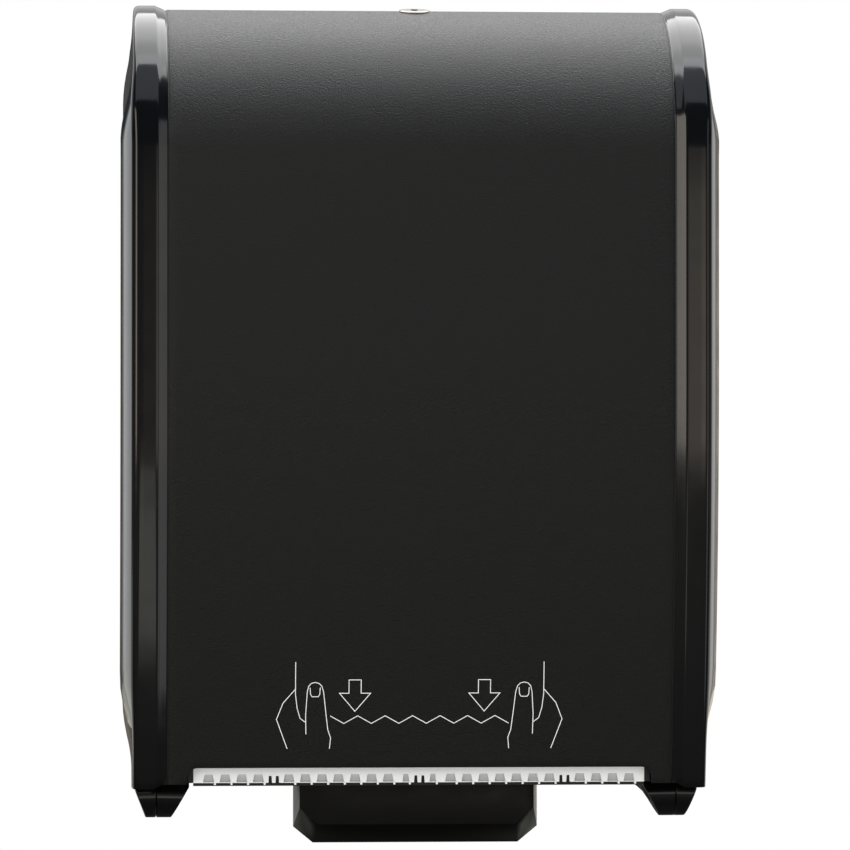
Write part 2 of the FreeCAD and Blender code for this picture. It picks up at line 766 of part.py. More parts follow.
def drum_bushes():
    x0 = frame_inner
    sleeve = rod(bush_radius, x0, x0 + frame_thickness)
    flange = rod(bush_flange_radius, x0 + frame_thickness, x0 + frame_thickness + bush_flange)
    bore = rod(shaft_radius + shaft_running_gap, x0 - overrun, x0 + frame_thickness + overrun)
    return both_sides(sleeve.fuse(flange).cut(bore).removeSplitter())


def drum_guard():
    guard = sector(-frame_inner, frame_inner, guard_inner, guard_inner + guard_thickness,
                   guard_start, guard_end)
    ribs = []
    for i in range(band_count + 1):
        x = (i - band_count / 2) * band_pitch
        ribs.append(sector(x - guard_rib_half, x + guard_rib_half, guard_inner - guard_rib_height,
                           guard_inner + bite, guard_start, guard_end))
    return fused([guard] + ribs)


def comb_window(x, half_low):
    """A tapered recess in the comb's front."""
    half_high = half_low * window_taper
    low = window_top - window_height
    corners = [(x - half_high, window_top), (x + half_high, window_top),
               (x + half_low, low), (x - half_low, low), (x - half_high, window_top)]
    wire = Part.makePolygon([Vector(px, comb_front, pz) for px, pz in corners])
    return Part.Face(wire).extrude(Vector(0, window_depth, 0))


def comb_window_places():
    """Middle and half width of each window: gaps part them into two middle and two end groups."""
    places = []
    for sign in (-1, 1):
        places.append((sign * (first_window - narrow_window_shift), narrow_window_half))
        for i in range(1, middle_windows):
            places.append((sign * (first_window + i * window_pitch), window_half))
        for i in range(int((frame_inner - comb_post_width - end_window) / window_pitch) + 1):
            places.append((sign * (end_window + i * window_pitch), window_half))
    return places


def towel_guide_comb():
    """The translucent comb that the towel slides down behind, with its two end posts."""
    back = comb_front + comb_thickness
    half_width = frame_inner - comb_post_width
    low = comb_bottom + comb_bottom_lift
    body = box(-half_width, half_width, comb_front, back, low, comb_top)
    body = body.cut([comb_window(x, half) for x, half in comb_window_places()])
    tips = []
    for x, half in comb_window_places():
        middle = x + half + rib_tip_gap
        tips.append(box(middle - rib_tip_half, middle + rib_tip_half, comb_front, back,
                        comb_bottom, low + bite))
    body = body.fuse(tips)
    slits = []
    for x in (-side_gap_place, 0.0, side_gap_place):
        for sign in (-1, 1):
            slits.append(box(x + sign * comb_gap_inner, x + sign * comb_gap_outer,
                             comb_front - overrun, back + overrun, comb_bottom - overrun,
                             window_top - comb_gap_inner))
    posts = [box(sign * half_width, sign * frame_inner, comb_front, comb_front + comb_post_depth,
                 low, comb_top) for sign in (-1, 1)]
    return body.cut(slits).fuse(posts).removeSplitter()


def band_places():
    return [(i - (band_count - 1) / 2) * band_pitch for i in range(band_count)]


def rear_guide():
    """The slanted bar behind the towel, held between the frames."""
    (y0, z0), (y1, z1) = rear_guide_top, rear_guide_low
    t = rear_guide_thickness
    blade = plate_x([(y0, z0), (y0 + t, z0), (y1 + t, z1), (y1, z1)], -frame_inner, frame_inner)
    slots = [box(x - guide_slot_half, x + guide_slot_half, y1 - overrun, y0 + overrun,
                 z0 - guide_slot_drop - guide_slot_height, z0 - guide_slot_drop)
             for x in band_places()]
    return blade.cut(slots).removeSplitter()


def lock_keeper():
    """The strap from the housing's top edge that the lock's tongue hooks behind."""
    x0, x1 = keeper_x
    ceiling = case_top - panel_recess - wall_thickness
    top = ceiling - keeper_clearance
    t = keeper_thickness
    end_top = top - keeper_droop
    root_front = -parting_depth + bridge_depth
    strap = plate_x([(root_front, top), (keeper_bend_y, top), (keeper_tab_y, end_top),
                     (keeper_tab_y, end_top - t), (keeper_bend_y, top - t), (root_front, top - t)],
                    x0, x1)
    tab = box(x0, x1, keeper_tab_y, keeper_tab_y + t, keeper_hook_low, end_top)
    hook = box(keeper_hook_x, x0 + bite, keeper_tab_y, keeper_tab_y + t,
               keeper_hook_low, keeper_hook_top)
    middle = (x0 + x1) / 2
    root = box(middle - keeper_root_half, middle + keeper_root_half, root_front,
               root_front + keeper_root_depth, top - t, ceiling)
    return fused([strap, tab, hook, root])


# Drum with its knife

def drum_shell():
    shell = tube(drum_radius, drum_radius - drum_wall, -drum_half_length, drum_half_length)
    end = drum_half_length - slot_end_margin
    slot = box(-end, end, drum_y + drum_radius / 2, drum_y + drum_radius + overrun,
               drum_z - slot_half_height, drum_z + slot_half_height)
    return shell.cut(slot)


def drum_cap():
    """The right end cap, with the radial slot that guides the knife bar's tab."""
    x0, x1 = drum_half_length, drum_half_length + cap_thickness
    inside = drum_radius - drum_wall
    disc = rod(drum_radius, x0, x1)
    spigot = tube(inside, inside - spigot_wall, x0 - cap_spigot, x0)
    boss = rod(shaft_boss, x0 - cap_spigot - shaft_boss_length, x0)
    half = knife_bar_half + tab_slot_gap
    slot = box(x0 - cap_spigot - overrun, x1 + overrun,
               drum_y + follower_rest - tab_half - tab_slot_margin,
               drum_y + drum_radius - tab_slot_edge, drum_z - half, drum_z + half)
    hole = rod(shaft_radius, x0 - far, x1 + overrun)
    return fused([disc, spigot, boss]).cut([slot, hole])


def drum_shaft():
    """The shaft through the drum, from the left clip to the right one."""
    return rod(shaft_radius, left_clip_x() - clip_thickness - shaft_end,
               right_clip_x() + clip_thickness + shaft_end)


def grip_bands():
    bands = []
    half = slot_half_height + band_slot_gap
    for x in band_places():
        ring = tube(drum_radius + band_thickness, drum_radius, x - band_width / 2, x + band_width / 2)
        gap = box(x - band_width, x + band_width, drum_y, drum_y + 2 * drum_radius,
                  drum_z - half, drum_z + half)
        bands.append(ring.cut(gap))
    return Part.makeCompound(bands)


def knife_bar():
    """The flat bar inside the drum that carries the blade, with a tab and pin at each end."""
    front = drum_y + follower_rest
    low, high = drum_z - knife_bar_half, drum_z + knife_bar_half
    end = drum_half_length - cap_spigot - knife_bar_end_gap
    pieces = [box(-end, end, front - knife_bar_back, front + knife_bar_front, low, high)]
    cap_face = drum_half_length + cap_thickness
    for sign in (-1, 1):
        pieces.append(box(sign * (end - bite), sign * (cap_face + tab_overhang),
                          front - tab_half, front + tab_half, low, high))
        pieces.append(rod(follower_pin_radius, sign * cap_face, sign * groove_floor(), front, drum_z))
    return fused(pieces)


def knife_blade():
    """The serrated steel blade on the front of the bar."""
    half = drum_half_length - slot_end_margin - blade_end_gap
    count = int(2 * half / tooth_pitch)
    start = -count * tooth_pitch / 2
    seat = drum_y + follower_rest + knife_bar_front
    tip = drum_y + blade_tip_rest
    points = [(start, seat), (start, tip - tooth_height)]
    for i in range(count):
        x = start + i * tooth_pitch
        points += [(x + tooth_pitch / 2, tip), (x + tooth_pitch, tip - tooth_height)]
    points += [(-start, seat), (start, seat)]
    wire = Part.makePolygon([Vector(x, y, drum_z - blade_half) for x, y in points])
    return Part.Face(wire).extrude(Vector(0, 0, 2 * blade_half))


def groove_floor():
    """Where the knife's pins and rollers end, just short of the cam groove's floor."""
    return frame_inner - cam_web - groove_gap


def knife_rollers():
    x0 = frame_inner - cam_thickness + groove_gap
    return both_sides(tube(follower_radius, follower_pin_radius, x0, groove_floor(),
                           drum_y + follower_rest, drum_z))


def knife_cam():
    """The right cam plate: a cup with an island, whose track swells where the knife cuts."""
    x0, x1 = frame_inner - cam_thickness, frame_inner
    inner = follower_rest - follower_radius - groove_gap
    outer = follower_rest + follower_radius + groove_gap
    track = tube(outer, inner, x0 - overrun, x1 - cam_web)
    lobe = sector(x0 - overrun, x1 - cam_web, inner, outer + knife_travel, cam_lobe_start, cam_lobe_end)
    hole = rod(shaft_radius + cam_shaft_gap, x0 - overrun, x1 + overrun)
    return rod(cam_radius, x0, x1).cut([track, lobe, hole])


# Ratchet, crank and lever

def ratchet_wheel():
    points = []
    for i in range(ratchet_teeth):
        angle = 360.0 * i / ratchet_teeth
        points += [polar(ratchet_root, angle), polar(ratchet_tip, angle)]
    wheel = plate_x(points, *ratchet_x)
    return wheel.cut(rod(shaft_radius, ratchet_x[0] - overrun, ratchet_x[1] + overrun))


def assist_angle():
    """Direction of the crank pin at rest: towards the assist spring's post."""
    return math.degrees(math.atan2(assist_post[1] - drum_z, assist_post[0] - drum_y))


def crank_disc():
    """The disc on the drum shaft with the pin that the assist spring hooks on."""
    x0, x1 = crank_x
    y, z = polar(crank_pin_orbit, assist_angle())
    body = fused([rod(crank_radius, x0, x1), rod(shaft_boss, x1, x1 + crank_boss_length),
                  rod(crank_pin_radius, x0, crank_pin_end, y, z),
                  rod(crank_pin_radius + pin_rim, crank_pin_end - pin_rim, crank_pin_end, y, z)])
    cuts = [rod(shaft_radius, x0 - overrun, x1 + 2 * overrun)]
    for turn in (90, 180, 270):
        y, z = polar(crank_hole_orbit, assist_angle() + turn)
        cuts.append(rod(crank_hole_radius, x0 - overrun, x1 + overrun, y, z))
    return body.cut(cuts)


def left_clip_x():
    """Inner face of the clip outside the lever's left arm."""
    return ratchet_x[0] - clip_ratchet_gap


def right_clip_x():
    return crank_x[1] + crank_boss_length


def shaft_clips():
    left, right = left_clip_x(), right_clip_x()
    outer = shaft_radius + clip_rise
    return Part.makeCompound([tube(outer, shaft_radius, left - clip_thickness, left),
                              tube(outer, shaft_radius, right, right + clip_thickness)])


def paddle_outline(y, half, chamfer_z, half_low, low, inset):
    right = [(half - inset, paddle_top), (half - inset, chamfer_z), (half_low - inset, low + inset)]
    corners = right + [(-x, z) for x, z in right[::-1]] + right[:1]
    return Part.makePolygon([Vector(x, y, z) for x, z in corners])


def paddle():
    """The push pad under the lever: a tapered cup with chamfered corners, open at the back."""
    outer = Part.makeLoft([paddle_outline(paddle_front_y, *paddle_front, 0.0),
                           paddle_outline(paddle_rear_y, *paddle_rear, 0.0)], True, True)
    inner = Part.makeLoft([paddle_outline(paddle_front_y + paddle_wall, *paddle_front, paddle_wall),
                           paddle_outline(paddle_rear_y + bite, *paddle_rear, paddle_wall)], True, True)
    ribs = [box(x - paddle_rib_half, x + paddle_rib_half, paddle_front_y + paddle_wall - bite,
                paddle_rear_y - paddle_rib_inset, paddle_front[3] + 1, paddle_top)
            for x in (-paddle_rib_x, 0.0, paddle_rib_x)]
    return outer.cut(inner).fuse(ribs)


def feed_lever():
    """The yoke about the drum shaft, its cross bar and the paddle, moulded in one."""
    pieces = [paddle(), sector(lever_left_x[0], lever_right_x[1], lever_bar_inner, lever_bar_outer,
                               lever_angle - lever_bar_half_angle, lever_angle + lever_bar_half_angle)]
    for x0, x1 in (lever_left_x, lever_right_x):
        pieces.append(rod(lever_hub_radius, x0, x1))
        pieces.append(radial_box(x0, x1, 0.0, lever_bar_outer - 2 * bite, lever_arm_half, lever_angle))
    pivot = polar(pawl_pivot_radius, pawl_pivot_angle)
    pieces.append(rod(pawl_boss, lever_left_x[0], ratchet_x[0] - pawl_boss_gap, *pivot))
    pieces.append(radial_box(*lever_left_x, pawl_arm_start, pawl_pivot_radius + pawl_pin_radius,
                             pawl_arm_half, pawl_pivot_angle))
    pieces.append(rod(stud_radius, lever_right_x[0], stud_end_x, *polar(return_hook_radius, lever_angle)))
    left, right = lever_left_x[0] - overrun, lever_right_x[1] + overrun
    return fused(pieces).cut([rod(pawl_pin_radius, left, ratchet_x[0], *pivot),
                              rod(shaft_radius + shaft_running_gap, left, right)])


def pawl():
    """The pawl, drawn in mesh and then turned back to its parked place."""
    x0, x1 = ratchet_x[0] + pawl_front_gap, ratchet_x[1] - pawl_back_gap
    y, z = polar(pawl_pivot_radius, pawl_pivot_angle)
    body = fused([plate_x([polar(*place) for place in pawl_tip], x0, x1), rod(pawl_boss, x0, x1, y, z)])
    body = body.cut(rod(pawl_pin_radius + shaft_running_gap, x0 - overrun, x1 + overrun, y, z))
    body.rotate(Vector(0, y, z), Vector(1, 0, 0), -pawl_swing)
    return body


def pawl_pin():
    y, z = polar(pawl_pivot_radius, pawl_pivot_angle)
    outside = lever_left_x[0]
    shank = rod(pawl_pin_radius, outside, ratchet_x[1] + pawl_back_gap, y, z)
    head = rod(pawl_pin_radius + pin_head_rise, outside - pin_head_thickness, outside, y, z)
    return fused([shank, head])


def plain_spring(start, end, radius, hook):
    """An extension spring as a plain sleeve with a round hook at each end."""
    run = end - start
    along = run * (1.0 / run.Length)
    margin = hook + spring_neck
    sleeve = Part.makeCylinder(radius, run.Length - 2 * margin, start + along * margin, along)
    body = [sleeve.cut(Part.makeCylinder(radius - spring_wall, run.Length, start, along))]
    for place, way in ((start, along), (end, along * -1.0)):
        ring = Part.makeTorus(hook, spring_wire, place, Vector(1, 0, 0))
        neck = Part.makeCylinder(spring_wire, 2 * spring_neck, place + way * hook, way)
        disc = Part.makeCylinder(radius, spring_wall, place + way * margin, way)
        body += [ring, neck, disc]
    return fused(body)


def assist_spring():
    x = (right_clip_x() + crank_pin_end - pin_rim) / 2
    return plain_spring(Vector(x, *polar(crank_pin_orbit, assist_angle())), Vector(x, *assist_post),
                        assist_spring_radius, crank_pin_radius + spring_wire + hook_gap)


def spring_posts():
    """The two posts on the right frame that the springs hook on."""
    x0 = frame_inner + frame_thickness
    far_post = fused([rod(crank_pin_radius, x0, crank_pin_end, *assist_post),
                      rod(post_radius + post_collar_rise, x0, x0 + post_collar_length, *assist_post),
                      rod(crank_pin_radius + pin_rim, crank_pin_end - pin_rim, crank_pin_end,
                          *assist_post)])
    near_post = fused([rod(stud_radius, x0, stud_end_x, *return_post),
                       rod(post_radius, x0, x0 + stud_foot_length, *return_post)])
    return Part.makeCompound([far_post, near_post])


def lever_return_spring():
    start = Vector(return_spring_x, *polar(return_hook_radius, lever_angle))
    return plain_spring(start, Vector(return_spring_x, *return_post), return_spring_radius,
                        return_spring_hook)


# Pinch rollers

def pinch_centre():
    return polar(pinch_middle(), pinch_angle)


def pinch_shaft():
    end = frame_inner - block_side_gap - pinch_shaft_gap
    return rod(pinch_shaft_radius, -end, end, *pinch_centre())


def pinch_rollers():
    half = pinch_width / 2
    return Part.makeCompound([tube(pinch_radius, pinch_shaft_radius, x - half, x + half, *pinch_centre())
                              for x in band_places()])


def pinch_blocks():
    """The sliding bearing blocks, each with a tongue in the frame's slot."""
    mid = pinch_middle()
    x0, x1 = block_inner, frame_inner - block_side_gap
    body = radial_box(x0, x1, mid - block_half, mid + block_half, block_half, pinch_angle)
    tongue = radial_box(x1, frame_inner + frame_thickness, mid - tongue_half, mid + tongue_half,
                        tongue_half, pinch_angle)
    bore = rod(pinch_shaft_radius + shaft_running_gap, x0 - overrun, x1, *pinch_centre())
    return both_sides(body.fuse(tongue).removeSplitter().cut(bore))


def pinch_springs():
    """The two compression springs over the blocks, as plain sleeves."""
    angle = math.radians(pinch_angle)
    out = Vector(0, math.cos(angle), math.sin(angle))
    x = (block_inner + frame_inner) / 2 - pinch_spring_shift
    start = Vector(x, drum_y, drum_z) + out * (pinch_middle() + block_half)
    outer = Part.makeCylinder(pinch_spring_radius, pinch_spring_length, start, out)
    inner = Part.makeCylinder(pinch_spring_radius - pinch_spring_wall,
                              pinch_spring_length + 2 * overrun, start - out * overrun, out)
    return both_sides(outer.cut(inner))


# Roll holder

def arm_plate():
    """The forward plate of a roll arm, as a tapered profile with a stiffening rim."""
    x0, x1 = roll_arm_x, roll_arm_x + roll_arm_thickness
    body = link(x0, x1, (roll_arm_back, roll_z), (roll_y, roll_z), roll_arm_root, roll_arm_tip)
    sink = link(x0 + roll_arm_web, x1 + overrun, (roll_arm_back - roll_sink_start, roll_z),
                (roll_y + roll_sink_end, roll_z), roll_arm_root - roll_arm_rim,
                roll_arm_tip - roll_arm_rim + 1)
    front = box(0, far, -far, -back_plate - frame_thickness, -far, far)
    return body.cut(sink).common(front)


def hub_stub():
    """The arm's short axle for its hub."""
    reach = hub_side_gap + hub_flange + hub_plug_length - stub_cover
    return rod(hub_pin_radius, roll_arm_x - reach, roll_arm_x + bite, roll_y, roll_z)


def arm_foot(outer_x):
    return box(roll_arm_x - roll_foot_width, outer_x, -back_plate - frame_thickness, -back_plate,
               roll_z - roll_foot_half, roll_z + roll_foot_half)


def left_roll_arm():
    """The fixed arm, screwed to the back plate by its foot."""
    body = fused([arm_plate(), hub_stub(), arm_foot(roll_arm_x + roll_arm_thickness)])
    return mirrored(body.cut(screw_holes()).removeSplitter())


def upright(radius, low, high):
    """A cylinder about the swinging arm's pivot."""
    return Part.makeCylinder(radius, high - low, Vector(arm_pivot_x, arm_pivot_y, low))


def arm_pin():
    return upright(arm_pin_radius, roll_z - roll_foot_half, roll_z + roll_foot_half)


def right_arm_bracket():
    """The bracket on the back plate with two ears for the swinging arm's pin."""
    low, high = roll_z - roll_foot_half, roll_z + roll_foot_half
    pieces = [arm_foot(arm_pivot_x + arm_barrel_radius)]
    for z in (low, high - ear_height):
        pieces.append(upright(arm_barrel_radius, z, z + ear_height))
        pieces.append(box(arm_pivot_x - arm_barrel_radius, arm_pivot_x + arm_barrel_radius,
                          arm_pivot_y, -back_plate - bite, z, z + ear_height))
    hole = upright(arm_pin_radius, low - overrun, high + overrun)
    return fused(pieces).cut([hole] + screw_holes())


def arm_room():
    """The height between the bracket's ears that the swinging arm fills."""
    half = roll_foot_half - ear_height - ear_gap
    return roll_z - half, roll_z + half


def right_roll_arm():
    """The arm that swings outwards to let a new roll in."""
    low, high = arm_room()
    barrel_top = high - arm_spring_height - ear_gap
    barrel = upright(arm_barrel_radius, low, barrel_top)
    plate = arm_plate().common(box(0, far, -far, arm_pivot_y - 1, low, high))
    plate = plate.cut(upright(arm_barrel_radius + spring_room, barrel_top, high + overrun))
    bore = upright(arm_pin_radius + shaft_running_gap, low - overrun, high + overrun)
    return fused([plate, barrel, hub_stub()]).cut(bore)


def right_arm_spring():
    """The torsion spring on the pin, as a plain sleeve with a leg on the bracket."""
    high = arm_room()[1]
    low = high - arm_spring_height + hook_gap
    sleeve = upright(arm_spring_radius, low, high).cut(
        upright(arm_spring_radius - arm_spring_wall, low - overrun, high + overrun))
    x, z = arm_pivot_x - arm_spring_radius + arm_spring_wall / 2, low + 1.0
    leg = strut(arm_spring_wall / 2, Vector(x, arm_pivot_y, z),
                Vector(x, -back_plate - frame_thickness, z))
    return fused([sleeve, leg])


def roll_hub():
    """The right hub: a flange and a tapered plug that the roll's core pushes on."""
    x1 = roll_arm_x - hub_side_gap
    seat = x1 - hub_flange
    tip = seat - hub_plug_length
    nose_start = seat - hub_plug_straight
    nose = Part.makeCone(hub_plug_radius, hub_plug_radius - hub_plug_taper, nose_start - tip,
                         Vector(nose_start, roll_y, roll_z), Vector(-1, 0, 0))
    body = fused([rod(hub_flange_radius, seat, x1, roll_y, roll_z),
                  rod(hub_plug_radius, nose_start, seat, roll_y, roll_z), nose])
    cuts = [rod(hub_pin_radius + shaft_running_gap, tip + hub_end_wall, x1 + overrun, roll_y, roll_z)]
    for i in range(hub_slot_count):
        slot = box(tip - overrun, nose_start, roll_y - hub_slot_half, roll_y + hub_slot_half,
                   roll_z + hub_slot_start, roll_z + hub_plug_radius + overrun)
        slot.rotate(Vector(0, roll_y, roll_z), Vector(1, 0, 0), 360.0 * i / hub_slot_count)
        cuts.append(slot)
    return body.cut(cuts)


# Lock

def lock_axis():
    """The middle of the lock's face on the cover and the direction it looks."""
    tilt = math.radians(lock_tilt)
    arc_y = -case_depth + top_radius
    arc_z = case_top - top_radius
    z = arc_z + math.sqrt((top_radius - panel_recess) ** 2 - (lock_y - arc_y) ** 2)
    return Vector(0, lock_y, z + lock_face_rise), Vector(0, -math.sin(tilt), math.cos(tilt))


def lock_cylinder(radius, top, bottom):
    centre, normal = lock_axis()
    return Part.makeCylinder(radius, top - bottom, centre + normal * bottom, normal)


def lock_box(x0, x1, back, forward, bottom, top):
    """A block in the lock's own tilted axes, drawn about the face's middle."""
    centre, normal = lock_axis()
    block = box(x0, x1, -forward, -back, bottom, top)
    block.rotate(Vector(0, 0, 0), Vector(1, 0, 0), lock_tilt)
    block.translate(centre)
    return block


def lock_housing():
    """The sleeve under the cover's top that the lock turns in."""
    ring = lock_cylinder(lock_sleeve_radius, -lock_flange_sink, -lock_sleeve_length)
    ring = ring.cut(lock_cylinder(lock_face_radius + lock_gap, overrun, -lock_sleeve_length - overrun))
    return ring.common(CASE_VOID)


def lock_levels():
    """Upper and lower face of the lock's tongue, below the face of the lock."""
    return lock_cam_thickness / 2 - lock_cam_drop, -lock_cam_thickness / 2 - lock_cam_drop


def lock_barrel():
    top, bottom = lock_levels()
    barrel = lock_cylinder(lock_face_radius, 0.0, top)
    stem = lock_cylinder(lock_stem_radius, 0.0, bottom)
    slot = lock_box(-keyhole_half_width, keyhole_half_width, -keyhole_half_length,
                    keyhole_half_length, -keyhole_depth, overrun)
    body = barrel.fuse(stem).removeSplitter()
    face_z = lock_axis()[0].z
    rim = [edge for edge in body.Edges
           if abs(edge.CenterOfMass.z - face_z) < bite and edge.Length > 2 * lock_face_radius]
    return body.makeChamfer(lock_face_chamfer, rim).cut(slot)


def lock_cam():
    """The tongue, which points at the wall when the lock is open."""
    top, bottom = lock_levels()
    hub = lock_cylinder(lock_hub_radius, top, bottom)
    tongue = lock_box(-lock_cam_half, lock_cam_half, -lock_cam_reach, 0.0, bottom, top)
    return fused([hub, tongue]).cut(lock_cylinder(lock_stem_radius, top + overrun, bottom - overrun))


def lock_screw():
    bottom = lock_levels()[1]
    return lock_cylinder(lock_screw_radius, bottom, bottom - lock_screw_height)


def build_parts():
    frame = side_frame()
    cam = knife_cam()
    cap = drum_cap()
    hub = roll_hub()
    return {
        "rear_housing": rear_housing(),
        "front_cover": front_cover(),
        "cover_hinge_pins": cover_hinge_pins(),
        "left_side_frame": mirrored(frame),
        "right_side_frame": frame,
        "frame_screws": frame_screws(),
        "drum_bushes": drum_bushes(),
        "left_knife_cam": mirrored(cam),
        "right_knife_cam": cam,
        "drum_guard": drum_guard(),
        "towel_guide_comb": towel_guide_comb(),
        "rear_guide": rear_guide(),
        "spring_posts": spring_posts(),
        "lock_keeper": lock_keeper(),
        "drum_shell": drum_shell(),
        "left_drum_cap": mirrored(cap),
        "right_drum_cap": cap,
        "drum_shaft": drum_shaft(),
        "grip_bands": grip_bands(),
        "ratchet_wheel": ratchet_wheel(),
        "crank_disc": crank_disc(),
        "shaft_clips": shaft_clips(),
        "knife_bar": knife_bar(),
        "knife_blade": knife_blade(),
        "knife_rollers": knife_rollers(),
        "feed_lever": feed_lever(),
        "pawl": pawl(),
        "pawl_pin": pawl_pin(),
        "lever_return_spring": lever_return_spring(),
        "assist_spring": assist_spring(),
        "pinch_shaft": pinch_shaft(),
        "pinch_rollers": pinch_rollers(),
        "pinch_blocks": pinch_blocks(),
        "pinch_springs": pinch_springs(),
        "left_roll_arm": left_roll_arm(),
        "left_roll_hub": mirrored(hub),
        "right_arm_bracket": right_arm_bracket(),
        "right_arm_pin": arm_pin(),
        "right_arm_spring": right_arm_spring(),
        "right_roll_arm": right_roll_arm(),
        "right_roll_hub": hub,
        "lock_housing": lock_housing(),
        "lock_barrel": lock_barrel(),
        "lock_cam": lock_cam(),
        "lock_screw": lock_screw(),
    }


def main():
    os.makedirs("parts", exist_ok=True)
    for name, shape in build_parts().items():
        shape.exportStep(os.path.join("parts", name + ".step"))
        bounds = shape.BoundBox
        print("%-22s solids %2d valid %s  x %.1f %.1f  y %.1f %.1f  z %.1f %.1f" % (
            name, len(shape.Solids), shape.isValid(), bounds.XMin, bounds.XMax,
            bounds.YMin, bounds.YMax, bounds.ZMin, bounds.ZMax))


if __name__ == "__main__":
    main()
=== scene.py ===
# %% [markdown]
# # A wall dispenser for roll towels
# The model comes in as a fixed frame: every solid has its place and size, and each one rides on
# the body that moves it. This script gives the frame its looks. It dresses the moulded black
# case, the frosted comb, the lock and the mechanism that shows when the cover is open.

# %% Load the frame
import bpy
import bmesh
import math
import json
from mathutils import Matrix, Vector


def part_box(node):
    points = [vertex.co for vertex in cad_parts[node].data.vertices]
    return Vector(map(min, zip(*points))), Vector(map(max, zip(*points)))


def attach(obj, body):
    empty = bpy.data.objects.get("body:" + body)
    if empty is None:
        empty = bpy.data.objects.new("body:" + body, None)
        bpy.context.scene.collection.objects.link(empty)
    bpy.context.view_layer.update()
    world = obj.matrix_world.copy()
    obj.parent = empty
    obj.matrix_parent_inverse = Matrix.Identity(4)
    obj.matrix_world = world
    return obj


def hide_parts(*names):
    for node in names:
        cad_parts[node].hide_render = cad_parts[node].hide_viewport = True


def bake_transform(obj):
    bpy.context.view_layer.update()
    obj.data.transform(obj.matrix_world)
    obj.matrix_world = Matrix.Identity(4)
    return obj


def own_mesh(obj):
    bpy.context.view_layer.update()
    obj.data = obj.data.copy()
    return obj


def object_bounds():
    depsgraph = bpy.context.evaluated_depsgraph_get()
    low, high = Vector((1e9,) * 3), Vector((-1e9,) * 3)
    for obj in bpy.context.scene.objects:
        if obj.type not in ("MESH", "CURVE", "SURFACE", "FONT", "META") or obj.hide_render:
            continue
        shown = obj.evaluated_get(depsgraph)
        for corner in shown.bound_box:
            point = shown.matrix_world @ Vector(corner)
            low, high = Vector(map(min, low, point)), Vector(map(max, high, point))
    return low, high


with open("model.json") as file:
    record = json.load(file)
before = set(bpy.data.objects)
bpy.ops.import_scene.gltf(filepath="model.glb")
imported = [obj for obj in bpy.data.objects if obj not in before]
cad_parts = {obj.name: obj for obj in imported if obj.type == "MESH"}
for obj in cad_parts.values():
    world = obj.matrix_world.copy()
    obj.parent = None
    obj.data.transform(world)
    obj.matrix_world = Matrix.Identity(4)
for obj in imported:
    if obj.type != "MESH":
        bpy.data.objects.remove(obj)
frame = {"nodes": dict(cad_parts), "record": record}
scene = bpy.context.scene
cad_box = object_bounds()
mm = 0.001

# %% [markdown]
# ## The camera
# The photograph was taken from nearly three metres with a long lens. The camera stood a little
# to the left and a little below the middle, and it was turned towards the dispenser. That is
# why the right side looks a little smaller than the left one. Place, turn and lens come from a
# least squares fit of the case's own corners to their places in the picture.

# %% Place the camera
camera_place = Vector((-0.208, -3.057, -0.049))
camera_target = Vector((0.0008, -0.236, -0.0135))
photo_side = 850.0                     # pixels, both ways
focal_pixels = 5759.0                  # the lens, in pixels of the photograph
sensor = 36.0                          # millimetres, as Blender counts

camera_data = bpy.data.cameras.new("camera")
camera_data.sensor_width = sensor
camera_data.lens = sensor * focal_pixels / photo_side
camera_data.clip_end = 50.0
camera = bpy.data.objects.new("camera", camera_data)
scene.collection.objects.link(camera)
camera.location = camera_place
camera.rotation_euler = (camera_target - camera_place).to_track_quat("-Z", "Y").to_euler()
scene.camera = camera
print("lens %.1f mm" % camera_data.lens)

# %% [markdown]
# ## Two helpers for node trees
# Shaders, the world and the Geometry Nodes below are all built from single nodes. One helper
# adds a node with its settings and its inputs. An input that is given a socket is linked to it,
# and any other is set to the value. Colours are written as sRGB hex values and turned linear.

# %% Helpers for nodes and colours
def add_node(tree, kind, inputs=None, **settings):
    """A node with its settings. Inputs are named or numbered, and take a value or a socket."""
    node = tree.nodes.new(kind)
    for name, value in settings.items():
        setattr(node, name, value)
    for key, value in (inputs or {}).items():
        if isinstance(value, bpy.types.NodeSocket):
            tree.links.new(value, node.inputs[key])
        else:
            node.inputs[key].default_value = value
    return node


def hex_colour(code):
    """An sRGB hex colour as the linear numbers that Blender shades with."""
    channels = [int(code[i:i + 2], 16) / 255 for i in (0, 2, 4)]
    linear = [c / 12.92 if c <= 0.04045 else ((c + 0.055) / 1.055) ** 2.4 for c in channels]
    return tuple(linear) + (1.0,)


print("mid grey is %.3f in linear light" % hex_colour("808080")[0])

# %% [markdown]
# ## Floor, world and lamps
# A studio picture of a black gloss object is a picture of what it mirrors. A wide softbox hangs
# above and a little behind, and its front edge draws the hard line near the top of the gloss
# rails. What a gloss surface mirrors is told apart from what lights a matte one, by the Light
# Path node. Behind the object the mirrored room is white, and in front of it the room and the
# floor are dim but for one patch, so that the rails stay black while the flared sides turn
# light. The camera sees the floor and the world as plain white.

# %% Lay the floor
view = scene.view_settings
view.view_transform = "Standard"

floor_drop = 1.10                      # floor below the lowest point
floor_half = 14.0
floor_z = cad_box[0][2] - floor_drop

floor_mesh = bpy.data.meshes.new("floor")
floor_mesh.from_pydata([(-floor_half, -floor_half, floor_z), (floor_half, -floor_half, floor_z),
                        (floor_half, floor_half, floor_z), (-floor_half, floor_half, floor_z)],
                       [], [(0, 1, 2, 3)])
floor = bpy.data.objects.new("floor", floor_mesh)
scene.collection.objects.link(floor)
print("floor at z %.3f m" % floor_z)

# %% Paint the floor
patch_x = -0.25                        # middle of the bright patch far in front


